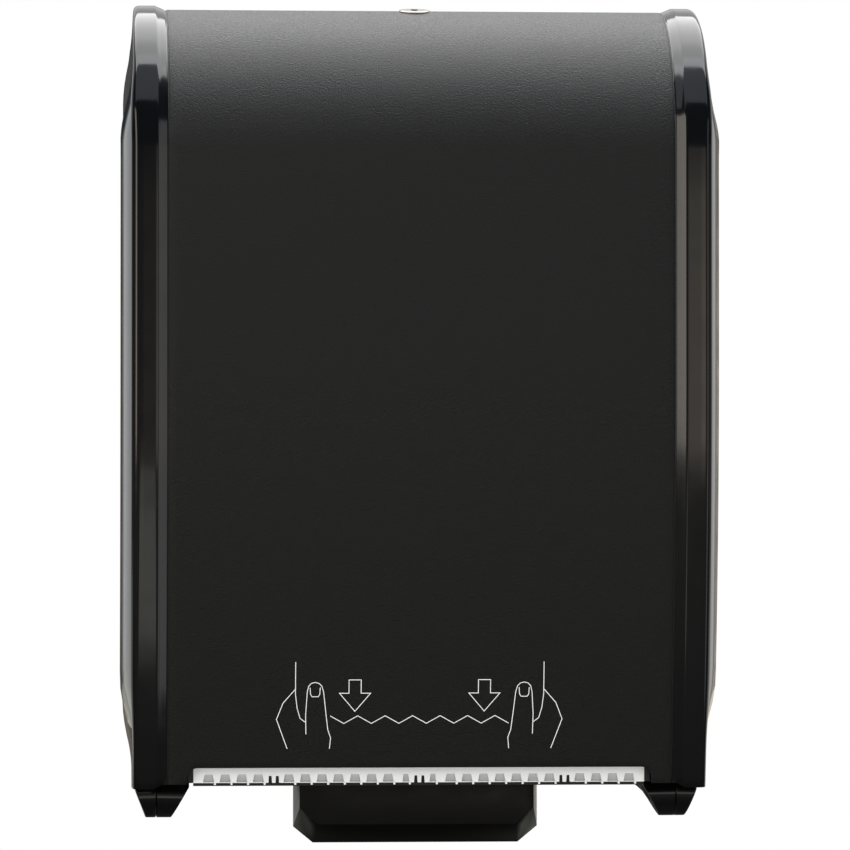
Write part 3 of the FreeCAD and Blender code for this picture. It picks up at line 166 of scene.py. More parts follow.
def by_ray(tree, lit, mirrored, seen):
    """Mixes what lights matte surfaces, what gloss mirrors and what the camera sees."""
    path = add_node(tree, "ShaderNodeLightPath")
    gloss = add_node(tree, "ShaderNodeMixShader",
                     {0: path.outputs["Is Glossy Ray"], 1: lit.outputs[0], 2: mirrored.outputs[0]})
    shown = add_node(tree, "ShaderNodeMixShader",
                     {0: path.outputs["Is Camera Ray"], 1: gloss.outputs[0], 2: seen.outputs[0]})
    return shown.outputs[0]


floor_look = bpy.data.materials.new("pale floor")
floor_look.use_nodes = True
tree = floor_look.node_tree
tree.nodes.clear()
place = add_node(tree, "ShaderNodeTexCoord")
way = add_node(tree, "ShaderNodeSeparateXYZ", {0: place.outputs["Object"]})
sideways = add_node(tree, "ShaderNodeMath", {0: way.outputs["X"]}, operation="ABSOLUTE")
off_patch = add_node(tree, "ShaderNodeMath", {0: way.outputs["X"], 1: -patch_x}, operation="ADD")
aside_of_patch = add_node(tree, "ShaderNodeMath", {0: off_patch.outputs[0]}, operation="ABSOLUTE")
ramps = (                              # along what, between which places, between which values
    (sideways.outputs[0], 0.45, 1.1, 0.0, 1.0),
    (way.outputs["Y"], -0.1, 0.2, 0.0, 0.9),
    (way.outputs["Y"], -1.0, -4.0, 0.05, 0.18),
    (aside_of_patch.outputs[0], 0.6, 0.45, 0.0, 1.0),
    (way.outputs["Y"], -3.9, -4.6, 0.0, 0.95),
)
beside, behind, ahead, over_patch, far_ahead = [
    add_node(tree, "ShaderNodeMapRange", {"Value": value, "From Min": start, "From Max": end,
                                          "To Min": low, "To Max": high}).outputs["Result"]
    for value, start, end, low, high in ramps]
rear = add_node(tree, "ShaderNodeMath", {0: beside, 1: behind}, operation="MULTIPLY")
patch = add_node(tree, "ShaderNodeMath", {0: over_patch, 1: far_ahead}, operation="MULTIPLY")
front = add_node(tree, "ShaderNodeMath", {0: ahead, 1: patch.outputs[0]}, operation="ADD")
shade = add_node(tree, "ShaderNodeMath", {0: front.outputs[0], 1: rear.outputs[0]},
                 operation="ADD")
matte = add_node(tree, "ShaderNodeBsdfDiffuse", {"Color": hex_colour("e9e9e9")})
mirrored = add_node(tree, "ShaderNodeEmission",
                    {"Color": hex_colour("f6f5ea"), "Strength": shade.outputs[0]})
white = add_node(tree, "ShaderNodeEmission", {"Strength": 1.0})
add_node(tree, "ShaderNodeOutputMaterial", {"Surface": by_ray(tree, matte, mirrored, white)})
floor_mesh.materials.append(floor_look)
print("floor nodes", len(tree.nodes))

# %% Build the world
room_light = 0.85                      # what lights matte surfaces from all round

world = bpy.data.worlds.new("studio")
scene.world = world
world.use_nodes = True
tree = world.node_tree
tree.nodes.clear()
place = add_node(tree, "ShaderNodeTexCoord")
way = add_node(tree, "ShaderNodeSeparateXYZ", {0: place.outputs["Generated"]})
sideways = add_node(tree, "ShaderNodeMath", {0: way.outputs["X"]}, operation="ABSOLUTE")
ramps = (                              # along what, between which places, between which values
    (sideways.outputs[0], 0.42, 0.52, 0.0, 0.8),
    (way.outputs["Y"], 0.40, 0.55, 0.0, 1.0),
    (way.outputs["Z"], 0.12, 0.30, 0.0, 1.0),
    (way.outputs["Y"], 0.0, 0.15, 0.0, 1.0),
    (way.outputs["Z"], 0.03, 0.11, 0.0, 1.0),
    (way.outputs["X"], 0.02, 0.16, 0.28, 2.5),
    (way.outputs["X"], 0.28, 0.42, 1.0, 0.2),
)
aside, behind, overhead, past_middle, above, rightwards, past_right = [
    add_node(tree, "ShaderNodeMapRange", {"Value": value, "From Min": start, "From Max": end,
                                          "To Min": low, "To Max": high}).outputs["Result"]
    for value, start, end, low, high in ramps]
low_rear = add_node(tree, "ShaderNodeMath", {0: aside, 1: behind}, operation="MULTIPLY")
high_rear = add_node(tree, "ShaderNodeMath", {0: overhead, 1: past_middle}, operation="MULTIPLY")
rear = add_node(tree, "ShaderNodeMath", {0: low_rear.outputs[0], 1: high_rear.outputs[0]},
                operation="MAXIMUM")
low_light = add_node(tree, "ShaderNodeMath", {0: rightwards, 1: past_right}, operation="MULTIPLY")
low_room = add_node(tree, "ShaderNodeVectorMath",
                    {0: hex_colour("c8bfb2")[:3], "Scale": low_light.outputs[0]},
                    operation="SCALE")
front_room = add_node(tree, "ShaderNodeMix",
                      {0: above, 6: low_room.outputs[0], 7: hex_colour("2f3a40")},
                      data_type="RGBA")
mirrored = add_node(tree, "ShaderNodeMix",
                    {0: rear.outputs[0], 6: front_room.outputs[2], 7: hex_colour("ffffff")},
                    data_type="RGBA")
rooms = [add_node(tree, "ShaderNodeBackground", {"Color": colour, "Strength": strength})
         for colour, strength in ((hex_colour("ffffff"), room_light), (mirrored.outputs[2], 1.0),
                                  (hex_colour("ffffff"), 1.0))]
add_node(tree, "ShaderNodeOutputWorld", {"Surface": by_ray(tree, *rooms)})
print("world nodes", len(tree.nodes))

# %% Hang the softboxes
neutral = (1.0, 1.0, 1.0)
cool = (0.84, 0.91, 1.0)
cool_pale = (0.92, 0.97, 1.0)
cream = (1.0, 0.94, 0.84)
middle = (0.0, 0.0, 0.0)
softboxes = (                          # name, place, target, width, height, power in W, colour
    ("top", (0.1, 0.2, 1.25), (0.1, 0.2, 0.0), 1.9, 1.6, 40.0, neutral),
    ("front top", (0.0, -0.92, 1.36), (0.0, -0.2, 0.15), 1.9, 1.05, 4.6, cool),
    ("front left", (-2.2, -2.6, 0.72), middle, 1.2, 2.0, 20.0, cream),
    ("front right", (2.5, -2.5, 0.1), middle, 0.7, 2.6, 5.0, neutral),
    ("rear left", (-2.5, 2.3, 0.45), middle, 1.7, 2.2, 8.0, cool_pale),
    ("rear right", (2.5, 2.3, 0.45), middle, 1.7, 2.2, 3.0, cool_pale),
)
for name, place, target, width, height, power, colour in softboxes:
    data = bpy.data.lights.new(name + " softbox", "AREA")
    data.shape = "RECTANGLE"
    data.size = width
    data.size_y = height
    data.energy = power
    data.color = colour
    lamp = bpy.data.objects.new(name + " softbox", data)
    scene.collection.objects.link(lamp)
    lamp.location = place
    lamp.rotation_euler = (Vector(target) - Vector(place)).to_track_quat("-Z", "Y").to_euler()
print("lamps", len(bpy.data.lights))

# %% [markdown]
# ## Finishes: black ABS
# The case is injection moulded ABS in one black, with two surfaces from the mould. The sunk
# panel is spark eroded: fine even grains that scatter light softly and glitter a little. The
# rails and sides come from polished steel, so they are glossy, with a faint waviness from the
# shrinking plastic that bends every highlight. ABS has an IOR of about 1.54. A new material
# starts from one Principled shader, and noise in millimetres of the real surface then varies
# its roughness and its bump.

# %% Helpers for finishes
def new_finish(name, colour, roughness, ior=1.5, metallic=0.0):
    """A material with one Principled shader; a metal keeps Blender's own IOR."""
    material = bpy.data.materials.new(name)
    material.use_nodes = True
    tree = material.node_tree
    tree.nodes.clear()
    shader = add_node(tree, "ShaderNodeBsdfPrincipled",
                      {"Base Color": hex_colour(colour), "Roughness": roughness,
                       "Metallic": metallic, "IOR": ior})
    add_node(tree, "ShaderNodeOutputMaterial", {"Surface": shader.outputs[0]})
    return material


def shader_of(material):
    return [node for node in material.node_tree.nodes if node.type == "BSDF_PRINCIPLED"][0]


def surface_noise(material, size, stretch=(1.0, 1.0, 1.0), detail=2.0):
    """Noise whose patches have a real size in metres, longer along a stretched axis."""
    tree = material.node_tree
    place = add_node(tree, "ShaderNodeTexCoord")
    scaled = add_node(tree, "ShaderNodeMapping",
                      {"Vector": place.outputs["Object"],
                       "Scale": tuple(1.0 / (size * s) for s in stretch)})
    noise = add_node(tree, "ShaderNodeTexNoise",
                     {"Vector": scaled.outputs[0], "Scale": 1.0, "Detail": detail})
    return noise.outputs["Fac"]


print("a finish starts as one shader, and its noise is sized in metres")

# %% Helpers that vary a finish
def vary_roughness(material, noise, low, high):
    """Roughness that wanders between two values with a noise."""
    tree = material.node_tree
    spread = add_node(tree, "ShaderNodeMapRange", {"Value": noise, "From Min": 0.3, "From Max": 0.7,
                                                   "To Min": low, "To Max": high})
    tree.links.new(spread.outputs["Result"], shader_of(material).inputs["Roughness"])


def raise_bump(material, height, depth, strength=1.0):
    """Bump of a real depth in metres, on top of any bump that the shader already has."""
    tree = material.node_tree
    normal = shader_of(material).inputs["Normal"]
    bump = add_node(tree, "ShaderNodeBump",
                    {"Height": height, "Distance": depth, "Strength": strength})
    if normal.is_linked:
        tree.links.new(normal.links[0].from_socket, bump.inputs["Normal"])
    tree.links.new(bump.outputs[0], normal)


def vary_colour(material, noise, first, second):
    """A colour that drifts between two close tones."""
    tree = material.node_tree
    mix = add_node(tree, "ShaderNodeMix", {0: noise, 6: hex_colour(first), 7: hex_colour(second)},
                   data_type="RGBA")
    tree.links.new(mix.outputs[2], shader_of(material).inputs["Base Color"])


print("finish helpers ready")

# %% Spark-eroded and polished ABS
eroded_grain = 0.75 * mm               # drawn twice as coarse as the real grain, to show at all

panel_abs = new_finish("spark eroded black ABS", "0c0c0d", 0.53, ior=1.54)
vary_roughness(panel_abs, surface_noise(panel_abs, eroded_grain), 0.42, 0.64)
raise_bump(panel_abs, surface_noise(panel_abs, eroded_grain, detail=1.0), 0.34 * mm, 1.0)
vary_colour(panel_abs, surface_noise(panel_abs, eroded_grain, detail=0.0), "000000", "171718")

gloss_abs = new_finish("polished black ABS", "08080a", 0.10, ior=1.54)
vary_roughness(gloss_abs, surface_noise(gloss_abs, 15 * mm, detail=4.0), 0.07, 0.14)
raise_bump(gloss_abs, surface_noise(gloss_abs, 9 * mm, detail=1.0), 0.02 * mm, 0.35)
vary_colour(gloss_abs, surface_noise(gloss_abs, 40 * mm), "060608", "0a0a0c")

inner_abs = new_finish("black ABS from an unpolished core", "161617", 0.36, ior=1.54)
vary_roughness(inner_abs, surface_noise(inner_abs, 30 * mm, detail=1.0), 0.34, 0.40)
raise_bump(inner_abs, surface_noise(inner_abs, 1.0 * mm, detail=0.0), 0.01 * mm, 0.2)

shaded_lever_ior = 1.40                       # below plain ABS, so the nose mirrors very little: painted shade under the case
# painted shade: the lever is a darker copy of the case's black ABS, for the shade under the case
shaded_lever_abs = new_finish("black lever ABS darkened as painted shade", "020202", 0.34, ior=shaded_lever_ior)
vary_roughness(shaded_lever_abs, surface_noise(shaded_lever_abs, 12 * mm), 0.30, 0.38)
raise_bump(shaded_lever_abs, surface_noise(shaded_lever_abs, 1.2 * mm), 0.02 * mm, 0.3)
vary_colour(shaded_lever_abs, surface_noise(shaded_lever_abs, 3 * mm), "000000", "040404")
print("ABS finishes", panel_abs.name, gloss_abs.name, inner_abs.name)

# %% [markdown]
# ## Finishes: the frosted comb and the print
# The comb is a milky polycarbonate, so light goes in, scatters and comes out again next to
# where it entered. Subsurface scattering with a short radius gives that glow, and its surface
# has a fine frost. Its colour turns greyer with depth in the sunk windows, partly because the
# bar is thinner there and partly as painted shade in the recesses.
# The instruction on the panel is screen printed in white ink, a matte film that is a little
# uneven.

# %% Frosted polycarbonate and white ink
frosted = new_finish("frosted polycarbonate", "e4e8ea", 0.38, ior=1.58)
shader_of(frosted).inputs["Subsurface Weight"].default_value = 0.35
shader_of(frosted).inputs["Subsurface Radius"].default_value = (1.0, 1.0, 1.0)
shader_of(frosted).inputs["Subsurface Scale"].default_value = 1.5 * mm
vary_roughness(frosted, surface_noise(frosted, 3 * mm), 0.33, 0.45)
raise_bump(frosted, surface_noise(frosted, 0.6 * mm), 0.02 * mm, 0.3)
comb_front = -209.4 * mm
tree = frosted.node_tree
place = add_node(tree, "ShaderNodeTexCoord")
way = add_node(tree, "ShaderNodeSeparateXYZ", {0: place.outputs["Object"]})
# partly painted shade: greyer deeper in the windows, for the thinner bar and the shade in the
# recesses
window_thinness_and_shade = add_node(tree, "ShaderNodeMapRange",
                    {"Value": way.outputs["Y"], "From Min": comb_front + 0.2 * mm,
                     "From Max": comb_front + 0.9 * mm})
vary_colour(frosted, window_thinness_and_shade.outputs["Result"], "f1f2f0", "b9bbbb")

white_ink = new_finish("screen printed white ink", "f2f2f0", 0.55, ior=1.48)
vary_roughness(white_ink, surface_noise(white_ink, 1.5 * mm), 0.5, 0.62)
raise_bump(white_ink, surface_noise(white_ink, eroded_grain), 0.02 * mm, 0.4)
vary_colour(white_ink, surface_noise(white_ink, 0.8 * mm), "e6e6e4", "fbfbf9")
print("comb and print finishes ready")

# %% [markdown]
# ## Finishes: plastics of the mechanism
# Inside, each plastic says what it is for. The drum and its caps are grey ABS. The cams, the
# crank disc, the pawl, the blocks and the bushes are acetal, which is slippery and waxy. The arms
# and guides are black, and the bands and pinch rollers are rubber with a dry bloom. They all come
# from plain moulds, so they differ in gloss, in grain and in the slow flow marks of the melt.

# %% Mechanism plastics
def moulded(name, first, second, low, high, grain, ior):
    """A moulded plastic: two close tones, a span of roughness and a grain size."""
    material = new_finish(name, first, low, ior=ior)
    vary_colour(material, surface_noise(material, 18 * mm, detail=3.0), first, second)
    vary_roughness(material, surface_noise(material, 7 * mm, detail=4.0), low, high)
    raise_bump(material, surface_noise(material, grain), 0.02 * mm, 0.35)
    return material


drum_abs = moulded("grey ABS", "8d9092", "989b9d", 0.30, 0.42, 1.2 * mm, 1.54)
guide_abs = moulded("satin black ABS", "151516", "1b1b1c", 0.34, 0.46, 1.0 * mm, 1.54)
grey_acetal = moulded("grey acetal", "a3a7aa", "aeb1b3", 0.26, 0.36, 2.0 * mm, 1.48)
white_acetal = moulded("white acetal", "e2e1dc", "ebeae6", 0.24, 0.34, 2.0 * mm, 1.48)
hub_abs = moulded("light grey ABS", "b3b6b8", "bdc0c1", 0.32, 0.44, 1.2 * mm, 1.54)
rubber = moulded("dry nitrile rubber", "29292a", "333334", 0.62, 0.78, 0.6 * mm, 1.52)
print("six moulded finishes")

# %% [markdown]
# ## Finishes: metals
# The side frames are sheet steel with bright zinc plating, which is cloudy and a little blue.
# Shafts are ground, so their fine scratches run round them, and the blade is ground along its
# edge. Spring wire is drawn and oiled, and the lock is zinc under satin nickel. A metal keeps
# Blender's own IOR, and its base colour is the colour of its mirror image.

# %% Metals
def metal(name, first, second, low, high, cloud, stretch=(1.0, 1.0, 1.0), scratch=0.5 * mm):
    """A metal with clouds in its colour and roughness, and scratches along one axis."""
    material = new_finish(name, first, low, metallic=1.0)
    clouds = surface_noise(material, cloud, detail=5.0)
    vary_colour(material, clouds, first, second)
    vary_roughness(material, clouds, low, high)
    raise_bump(material, surface_noise(material, scratch, stretch), 0.01 * mm, 0.25)
    return material


plated_steel = metal("zinc plated sheet steel", "a9adb2", "bdc0c2", 0.26, 0.42, 11 * mm)
screw_steel = metal("zinc plated screw", "b4b6b6", "c6c7c4", 0.20, 0.32, 3 * mm)
ground_steel = metal("ground shaft steel", "b9bbbd", "c8cacb", 0.14, 0.24, 8 * mm,
                     (0.6, 30.0, 30.0))
blade_steel = metal("ground blade steel", "c4c6c8", "d3d5d6", 0.12, 0.22, 9 * mm, (40.0, 0.6, 0.6))
spring_wire = metal("oiled spring wire", "8b8c8e", "9c9d9f", 0.22, 0.36, 4 * mm)
nickel = metal("satin nickel on zinc", "949189", "a19f98", 0.24, 0.34, 5 * mm, (6.0, 6.0, 6.0))
print("six metals")

# %% [markdown]
# ## The form of the case
# The case is one moulded form, parted into a cover and a wall housing. Seen from the side it is
# a quarter round at the top, a straight front and a slow bow back to the towel slot. Seen from
# the front its sides flare out to a shoulder. Both lines are written here once as formulas, so
# that the skin can be a fine even grid with clean highlights, which a cut CAD solid can't give.

# %% Sizes of the case
case_depth = 236 * mm
case_top = 198 * mm
case_bottom = -193 * mm
front_half_width = 142.2 * mm
shoulder_half_width = front_half_width + 6.2 * mm
shoulder_end_half_width = front_half_width + 0.2 * mm
shoulder_depth = 16 * mm
wall_half_width = front_half_width + 0.3 * mm
wall_end_half_width = front_half_width - 12.2 * mm
shoulder_fade = (55 * mm, 72 * mm, 17 * mm, 32 * mm)
wall_fade = (35 * mm, 38 * mm, -29 * mm, -30 * mm)
top_radius = 75 * mm
bow_start = 20 * mm
bow_depth = 21 * mm
bow_radius = ((bow_start - case_bottom) ** 2 + bow_depth ** 2) / (2 * bow_depth)
parting_y = -85 * mm
print("front bows on a radius of %.3f m" % bow_radius)

# %% The case as formulas
def fade(z, ends):
    """1 along the middle of a side, falling smoothly to 0 towards its ends."""
    low, high = case_bottom + ends[0], case_top - ends[1]
    if z > high:
        part = (z - high) / (case_top - ends[3] - high)
    elif z < low:
        part = (low - z) / (low - case_bottom - ends[2])
    else:
        part = 0.0
    return 0.5 + 0.5 * math.cos(math.pi * min(part, 1.0))


def half_width(y, z):
    """Half the width of the case at a place on its side. The shoulder follows the bow."""
    front_y = front_place(min(z, bow_start))[0][0]
    shoulder_y = front_y + shoulder_depth
    shoulder = (shoulder_end_half_width
                + (shoulder_half_width - shoulder_end_half_width) * fade(z, shoulder_fade))
    wall = wall_end_half_width + (wall_half_width - wall_end_half_width) * fade(z, wall_fade)
    if y < shoulder_y:
        part = max(y - front_y, 0.0) / shoulder_depth
        return front_half_width + (shoulder - front_half_width) * part
    joint = shoulder + (wall - shoulder) * (1 - parting_y / (shoulder_depth - case_depth))
    return shoulder + (joint - shoulder) * (y - shoulder_y) / (parting_y - shoulder_y)


def front_place(z, depth=0.0):
    """The (y, z) of the front at a height below the roll-over, and the way it faces."""
    if z > bow_start:
        return (depth - case_depth, z), (-1.0, 0.0)
    middle = bow_radius - case_depth
    radius = bow_radius - depth
    y = middle - math.sqrt(radius ** 2 - (bow_start - z) ** 2)
    return (y, z), ((y - middle) / radius, (z - bow_start) / radius)


def roll_place(angle, depth=0.0):
    """The same on the roll-over, by the angle from straight up (0) to straight ahead (90)."""
    turn = math.radians(angle)
    out = (-math.sin(turn), math.cos(turn))
    radius = top_radius - depth
    return (top_radius - case_depth + radius * out[0], case_top - top_radius + radius * out[1]), out


print("half width at the parting joint %.4f m" % half_width(parting_y, 0.0))

# %% [markdown]
# ## The cover's section
# The cover has gloss rails at both edges, a slope down to a sunk textured panel, and a fine
# groove between the slope and the panel. That section is a short list of corners. Each column
# also knows how far down it runs, because the lower edge is cut out for the towel and lifted a
# little beside the feet. The lower rows bend to that edge, so that nothing has to be cut.

# %% Sizes of the cover's section
panel_recess = 2.0 * mm
rail_inner = 130.5 * mm
slope_foot = 125.6 * mm
groove_outer = 125.2 * mm
groove_inner = 124.6 * mm
groove_depth = 0.5 * mm
groove_lead = 0.6 * mm                 # the panel starts to bend this far before the groove
groove_lip = 0.4 * mm                  # and has sunk by the sag this far before it
lip_sag = 0.1 * mm
slope_start = 0.2 * mm
rail_sags = (0.12 * mm, 0.02 * mm)     # of the two columns in the rail's inner round
rail_round = 3.0 * mm                  # between rail and side
round_steps = 6
rail_lip = 0.5 * mm                    # between rail and slope
rail_end = 137.0 * mm
cutout_half_width = 115.2 * mm
cutout_draft = 0.3 * mm
cutout_top = -182.6 * mm
cutout_round = 5.0 * mm
corner_lift = 2.2 * mm
lift_half_width = 127.7 * mm
lift_end = 131.7 * mm
panel_edge = 120.0 * mm
rail_middle = 134.5 * mm
panel_columns = 8
corner_columns = 6
print("slope falls %.1f mm over %.1f mm" % (panel_recess / mm, (rail_inner - slope_foot) / mm))

# %% Columns of the cover
def slope_depth(x):
    """Depth below the rail along the slope."""
    return panel_recess * (rail_inner - x) / (rail_inner - slope_foot)


def cover_columns():
    """The right half of the section: x, depth under the rail, and height of the lower end."""
    lifted = case_bottom + corner_lift
    inner = cutout_half_width - cutout_round
    columns = [(inner * i / panel_columns, panel_recess, cutout_top)
               for i in range(panel_columns + 1)]
    for i in range(1, corner_columns + 1):
        turn = math.radians(90 / corner_columns * i)
        columns.append((inner + cutout_round * math.sin(turn), panel_recess,
                        cutout_top - cutout_round * (1 - math.cos(turn))))
    columns += [(cutout_half_width + cutout_draft, panel_recess, lifted),
                (panel_edge, panel_recess, lifted),
                (groove_inner - groove_lead, panel_recess, lifted),
                (groove_inner - groove_lip, panel_recess + lip_sag, lifted),
                (groove_inner, panel_recess + groove_depth, lifted),
                (groove_outer, panel_recess + groove_depth, lifted),
                (slope_foot, panel_recess, lifted),
                (slope_foot + slope_start, slope_depth(slope_foot + slope_start), lifted),
                (lift_half_width, slope_depth(lift_half_width), lifted)]
    for x, depth in ((rail_inner - 2 * rail_lip, slope_depth(rail_inner - 2 * rail_lip)),
                     (rail_inner - rail_lip, rail_sags[0]), (rail_inner, rail_sags[1]),
                     (rail_inner + rail_lip, 0.0)):
        share = (x - lift_half_width) / (lift_end - lift_half_width)
        columns.append((x, depth, lifted - corner_lift * share))
    return columns + [(x, 0.0, case_bottom) for x in (lift_end, rail_middle, rail_end)]


print("columns", len(cover_columns()))

# %% Rows of the cover
warp_start = -160 * mm                 # below this the rows bend to the lower edge
roll_step = 3                          # degrees
top_rows = 4
straight_rows = 4
bow_rows = 20
edge_rows = 8


def cover_rows():
    """Rows from the parting joint over the roll and down the front, as a zone and a place."""
    arc_y, arc_z = top_radius - case_depth, case_top - top_radius
    rows = [("top", parting_y + (arc_y - parting_y) * i / top_rows) for i in range(top_rows)]
    rows += [("roll", angle) for angle in range(0, 91, roll_step)]
    rows += [("front", arc_z + (bow_start - arc_z) * i / straight_rows)
             for i in range(1, straight_rows + 1)]
    rows += [("front", bow_start + (warp_start - bow_start) * i / bow_rows)
             for i in range(1, bow_rows + 1)]
    return rows + [("edge", i / edge_rows) for i in range(1, edge_rows + 1)]


def skin_place(row, depth, low):
    """The (y, z) of the skin where a row meets a column, and the way it faces."""
    zone, value = row
    if zone == "top":
        return (value, case_top - depth), (0.0, 1.0)
    if zone == "roll":
        return roll_place(value, depth)
    if zone == "edge":
        value = warp_start + (low - warp_start) * value
    return front_place(value, depth)


def rail_round_places(place, out):
    """The (x, y, z) places round the rail's outer edge, from the rail to the side."""
    y, z = place
    side_y, side_z = y - out[0] * rail_round, z - out[1] * rail_round
    edge = Vector((half_width(y, z), y, z))
    start = Vector((edge.x - rail_round, y, z))
    end = Vector((half_width(side_y, side_z), side_y, side_z))
    shares = [i / round_steps for i in range(round_steps + 1)]
    return [start * (1 - t) ** 2 + edge * 2 * t * (1 - t) + end * t ** 2 for t in shares]


print("rows", len(cover_rows()))

# %% Helpers that make pieces
record = frame["record"]
body_of = {node: body for body, nodes in record["behaviour"]["bodies"].items() for node in nodes}
slot_of = {part["node"]: part["material_slot"] for part in record["subparts"]}


def new_piece(name, data, materials):
    """An object for a mesh, with its materials in order."""
    piece = bpy.data.objects.new(name, data)
    scene.collection.objects.link(piece)
    for material in materials:
        data.materials.append(material)
    return piece


def applied(piece):
    """Turns a piece's modifiers into plain mesh."""
    graph = bpy.context.evaluated_depsgraph_get()
    data = bpy.data.meshes.new_from_object(piece.evaluated_get(graph))
    piece.modifiers.clear()
    piece.data = data
    return piece


def fitted(piece, body, slot_name, *nodes):
    """Makes a finished piece ride on its body and stand for CAD nodes."""
    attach(piece, body)
    if nodes:
        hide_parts(*nodes)
    return piece


def mesh_data(mesh, name):
    """Turns a bmesh into mesh data, and frees it."""
    data = bpy.data.meshes.new(name)
    mesh.to_mesh(data)
    mesh.free()
    return data


print("nodes by body", len(body_of))

# %% [markdown]
# ## The cover's skin
# Rows and columns make a grid from the left rail to the right one, and each row runs on round
# the rail's edge and across the side to the parting joint. The rows fan out evenly there, by
# the length that they have covered on the rail. Where the case narrows at the top rear corner,
# the rail's columns close up, so that the sheet never folds. It then gets its wall with
# Solidify, inwards, so that the outside stays exactly on the formulas.

# %% Lines across the cover's skin
side_steps = 12
least_step = 0.3 * mm                  # between the last rail column and the rail's round


def skin_lines():
    """The places of each row on the right half, from the middle to the parting joint."""
    columns = cover_columns()
    half_rows = []
    flat_start = rail_inner + rail_lip
    for row in cover_rows():
        place, out = skin_place(row, 0.0, case_bottom)
        edge_run = rail_round_places(place, out)
        room = min(1.0, (edge_run[0].x - least_step - flat_start) / (rail_end - flat_start))
        line = []
        for x, depth, low in columns:
            (y, z), out = skin_place(row, depth, low)
            if x > flat_start:
                x = flat_start + (x - flat_start) * room
            line.append(Vector((x, y, z)))
        half_rows.append(line + edge_run)
    run = [0.0]
    for before, after in zip(half_rows, half_rows[1:]):
        run.append(run[-1] + (after[-1] - before[-1]).length)
    start_z = half_rows[0][-1].z
    for line, length in zip(half_rows, run):
        foot = line[-1]
        end_z = start_z + (case_bottom - start_z) * length / run[-1]
        for i in range(1, side_steps + 1):
            t = i / side_steps
            y, z = foot.y + (parting_y - foot.y) * t, foot.z + (end_z - foot.z) * t
            line.append(Vector((half_width(y, z), y, z)))
    return half_rows


print("places in a line", len(skin_lines()[0]))

# %% Build the cover's skin
cover_wall = 2.4 * mm
rim_round = 0.5 * mm


def cover_skin():
    """The outer skin as one open sheet: material 0 is the panel, 1 is everything glossy."""
    mesh = bmesh.new()
    grid = []
    for line in skin_lines():
        whole = [Vector((-v.x, v.y, v.z)) for v in line[:0:-1]] + line
        grid.append([mesh.verts.new(v) for v in whole])
    for upper, lower in zip(grid, grid[1:]):
        for c in range(len(upper) - 1):
            face = mesh.faces.new((lower[c], lower[c + 1], upper[c + 1], upper[c]))
            face.smooth = True
            middle = abs(upper[c].co.x + upper[c + 1].co.x) / 2
            face.material_index = 0 if middle < groove_outer else 1
    bmesh.ops.remove_doubles(mesh, verts=mesh.verts, dist=1e-6)
    bmesh.ops.dissolve_degenerate(mesh, dist=1e-6, edges=mesh.edges)
    return mesh_data(mesh, "cover skin")


cover = new_piece("cover_shell", cover_skin(), [panel_abs, gloss_abs, inner_abs, inner_abs])
wall = cover.modifiers.new("wall", "SOLIDIFY")
wall.thickness = cover_wall
wall.offset = -1.0
wall.material_offset = 2
rim = cover.modifiers.new("rim", "BEVEL")
rim.width = rim_round
rim.segments = 2
rim.limit_method = "ANGLE"
rim.angle_limit = math.radians(75)
applied(cover)
fitted(cover, "cover", "cover_black", "front_cover")
print("cover faces", len(cover.data.polygons))

# %% [markdown]
# ## Feet and flange of the cover
# The cover turns on two lugs that hang below its side walls. Each is a round eye with a neck
# and a low boss, and its outside leans in like the feet in the photograph. A web ties the lug
# to the wall, and a narrow flange turns in at the bottom corner. All of them are prisms: an
# outline in the Y-Z plane between two X places, where a place may follow a rule such as the
# lean or the side wall.

# %% Prisms with rounded edges
def prism(mesh, outline, near, far):
    """Adds a closed solid to a mesh: an outline in Y-Z between two rules for X."""
    ends = []
    for rule in (near, far):
        ends.append([mesh.verts.new((rule(y, z), y, z)) for y, z in outline])
    count = len(outline)
    mesh.faces.new(ends[0])
    mesh.faces.new(ends[1][::-1])
    for i in range(count):
        j = (i + 1) % count
        mesh.faces.new((ends[0][j], ends[0][i], ends[1][i], ends[1][j]))


def mirrored_copy(mesh):
    """Adds the left twin of everything in a mesh."""
    copy = bmesh.ops.duplicate(mesh, geom=mesh.verts[:] + mesh.edges[:] + mesh.faces[:])
    for item in copy["geom"]:
        if isinstance(item, bmesh.types.BMVert):
            item.co.x = -item.co.x


def round_edges(piece, radius, corner=40.0, segments=3):
    """Rounds a piece's edges, and shades flats flat and rounds round."""
    soften = piece.modifiers.new("rounds", "BEVEL")
    soften.width = radius
    soften.segments = segments
    soften.limit_method = "ANGLE"
    soften.angle_limit = math.radians(corner)
    soften.harden_normals = True
    for face in piece.data.polygons:
        face.use_smooth = True
    return applied(piece)


def prism_piece(name, mesh, material, radius, body, slot_name, node, segments=3):
    """Makes a piece of a mesh of prisms, with its faces outwards and its edges rounded."""
    bmesh.ops.recalc_face_normals(mesh, faces=mesh.faces)
    piece = new_piece(name, mesh_data(mesh, name.replace("_", " ")), [material])
    round_edges(piece, radius, segments=segments)
    fitted(piece, body, slot_name, node)
    print(name, "faces", len(piece.data.polygons))


print("prism helpers ready")

# %% Sizes and outlines of the feet
hinge_y = -182 * mm
hinge_z = -197 * mm
eye_radius = 11.5 * mm
hinge_split = 129.6 * mm               # plane between the lug and the housing's arm
half_split_gap = 0.175 * mm
lug_inner = hinge_split + half_split_gap
lug_outer_top = 141 * mm
lug_outer_bottom = 135 * mm
neck_half = 8 * mm
neck_top = case_bottom + 7.5 * mm
boss_radius = 11.2 * mm                # a low boss that bears on the housing's arm
boss_rise = 0.3 * mm
boss_sunk = 1 * mm
boss_sides = 40
eye_steps = 28


def lug_outer(y, z):
    """Outside of the lug: upright above the cover's edge, leaning in below it."""
    share = min(max((case_bottom - z) / (case_bottom - hinge_z + eye_radius), 0.0), 1.0)
    return lug_outer_top + (lug_outer_bottom - lug_outer_top) * share


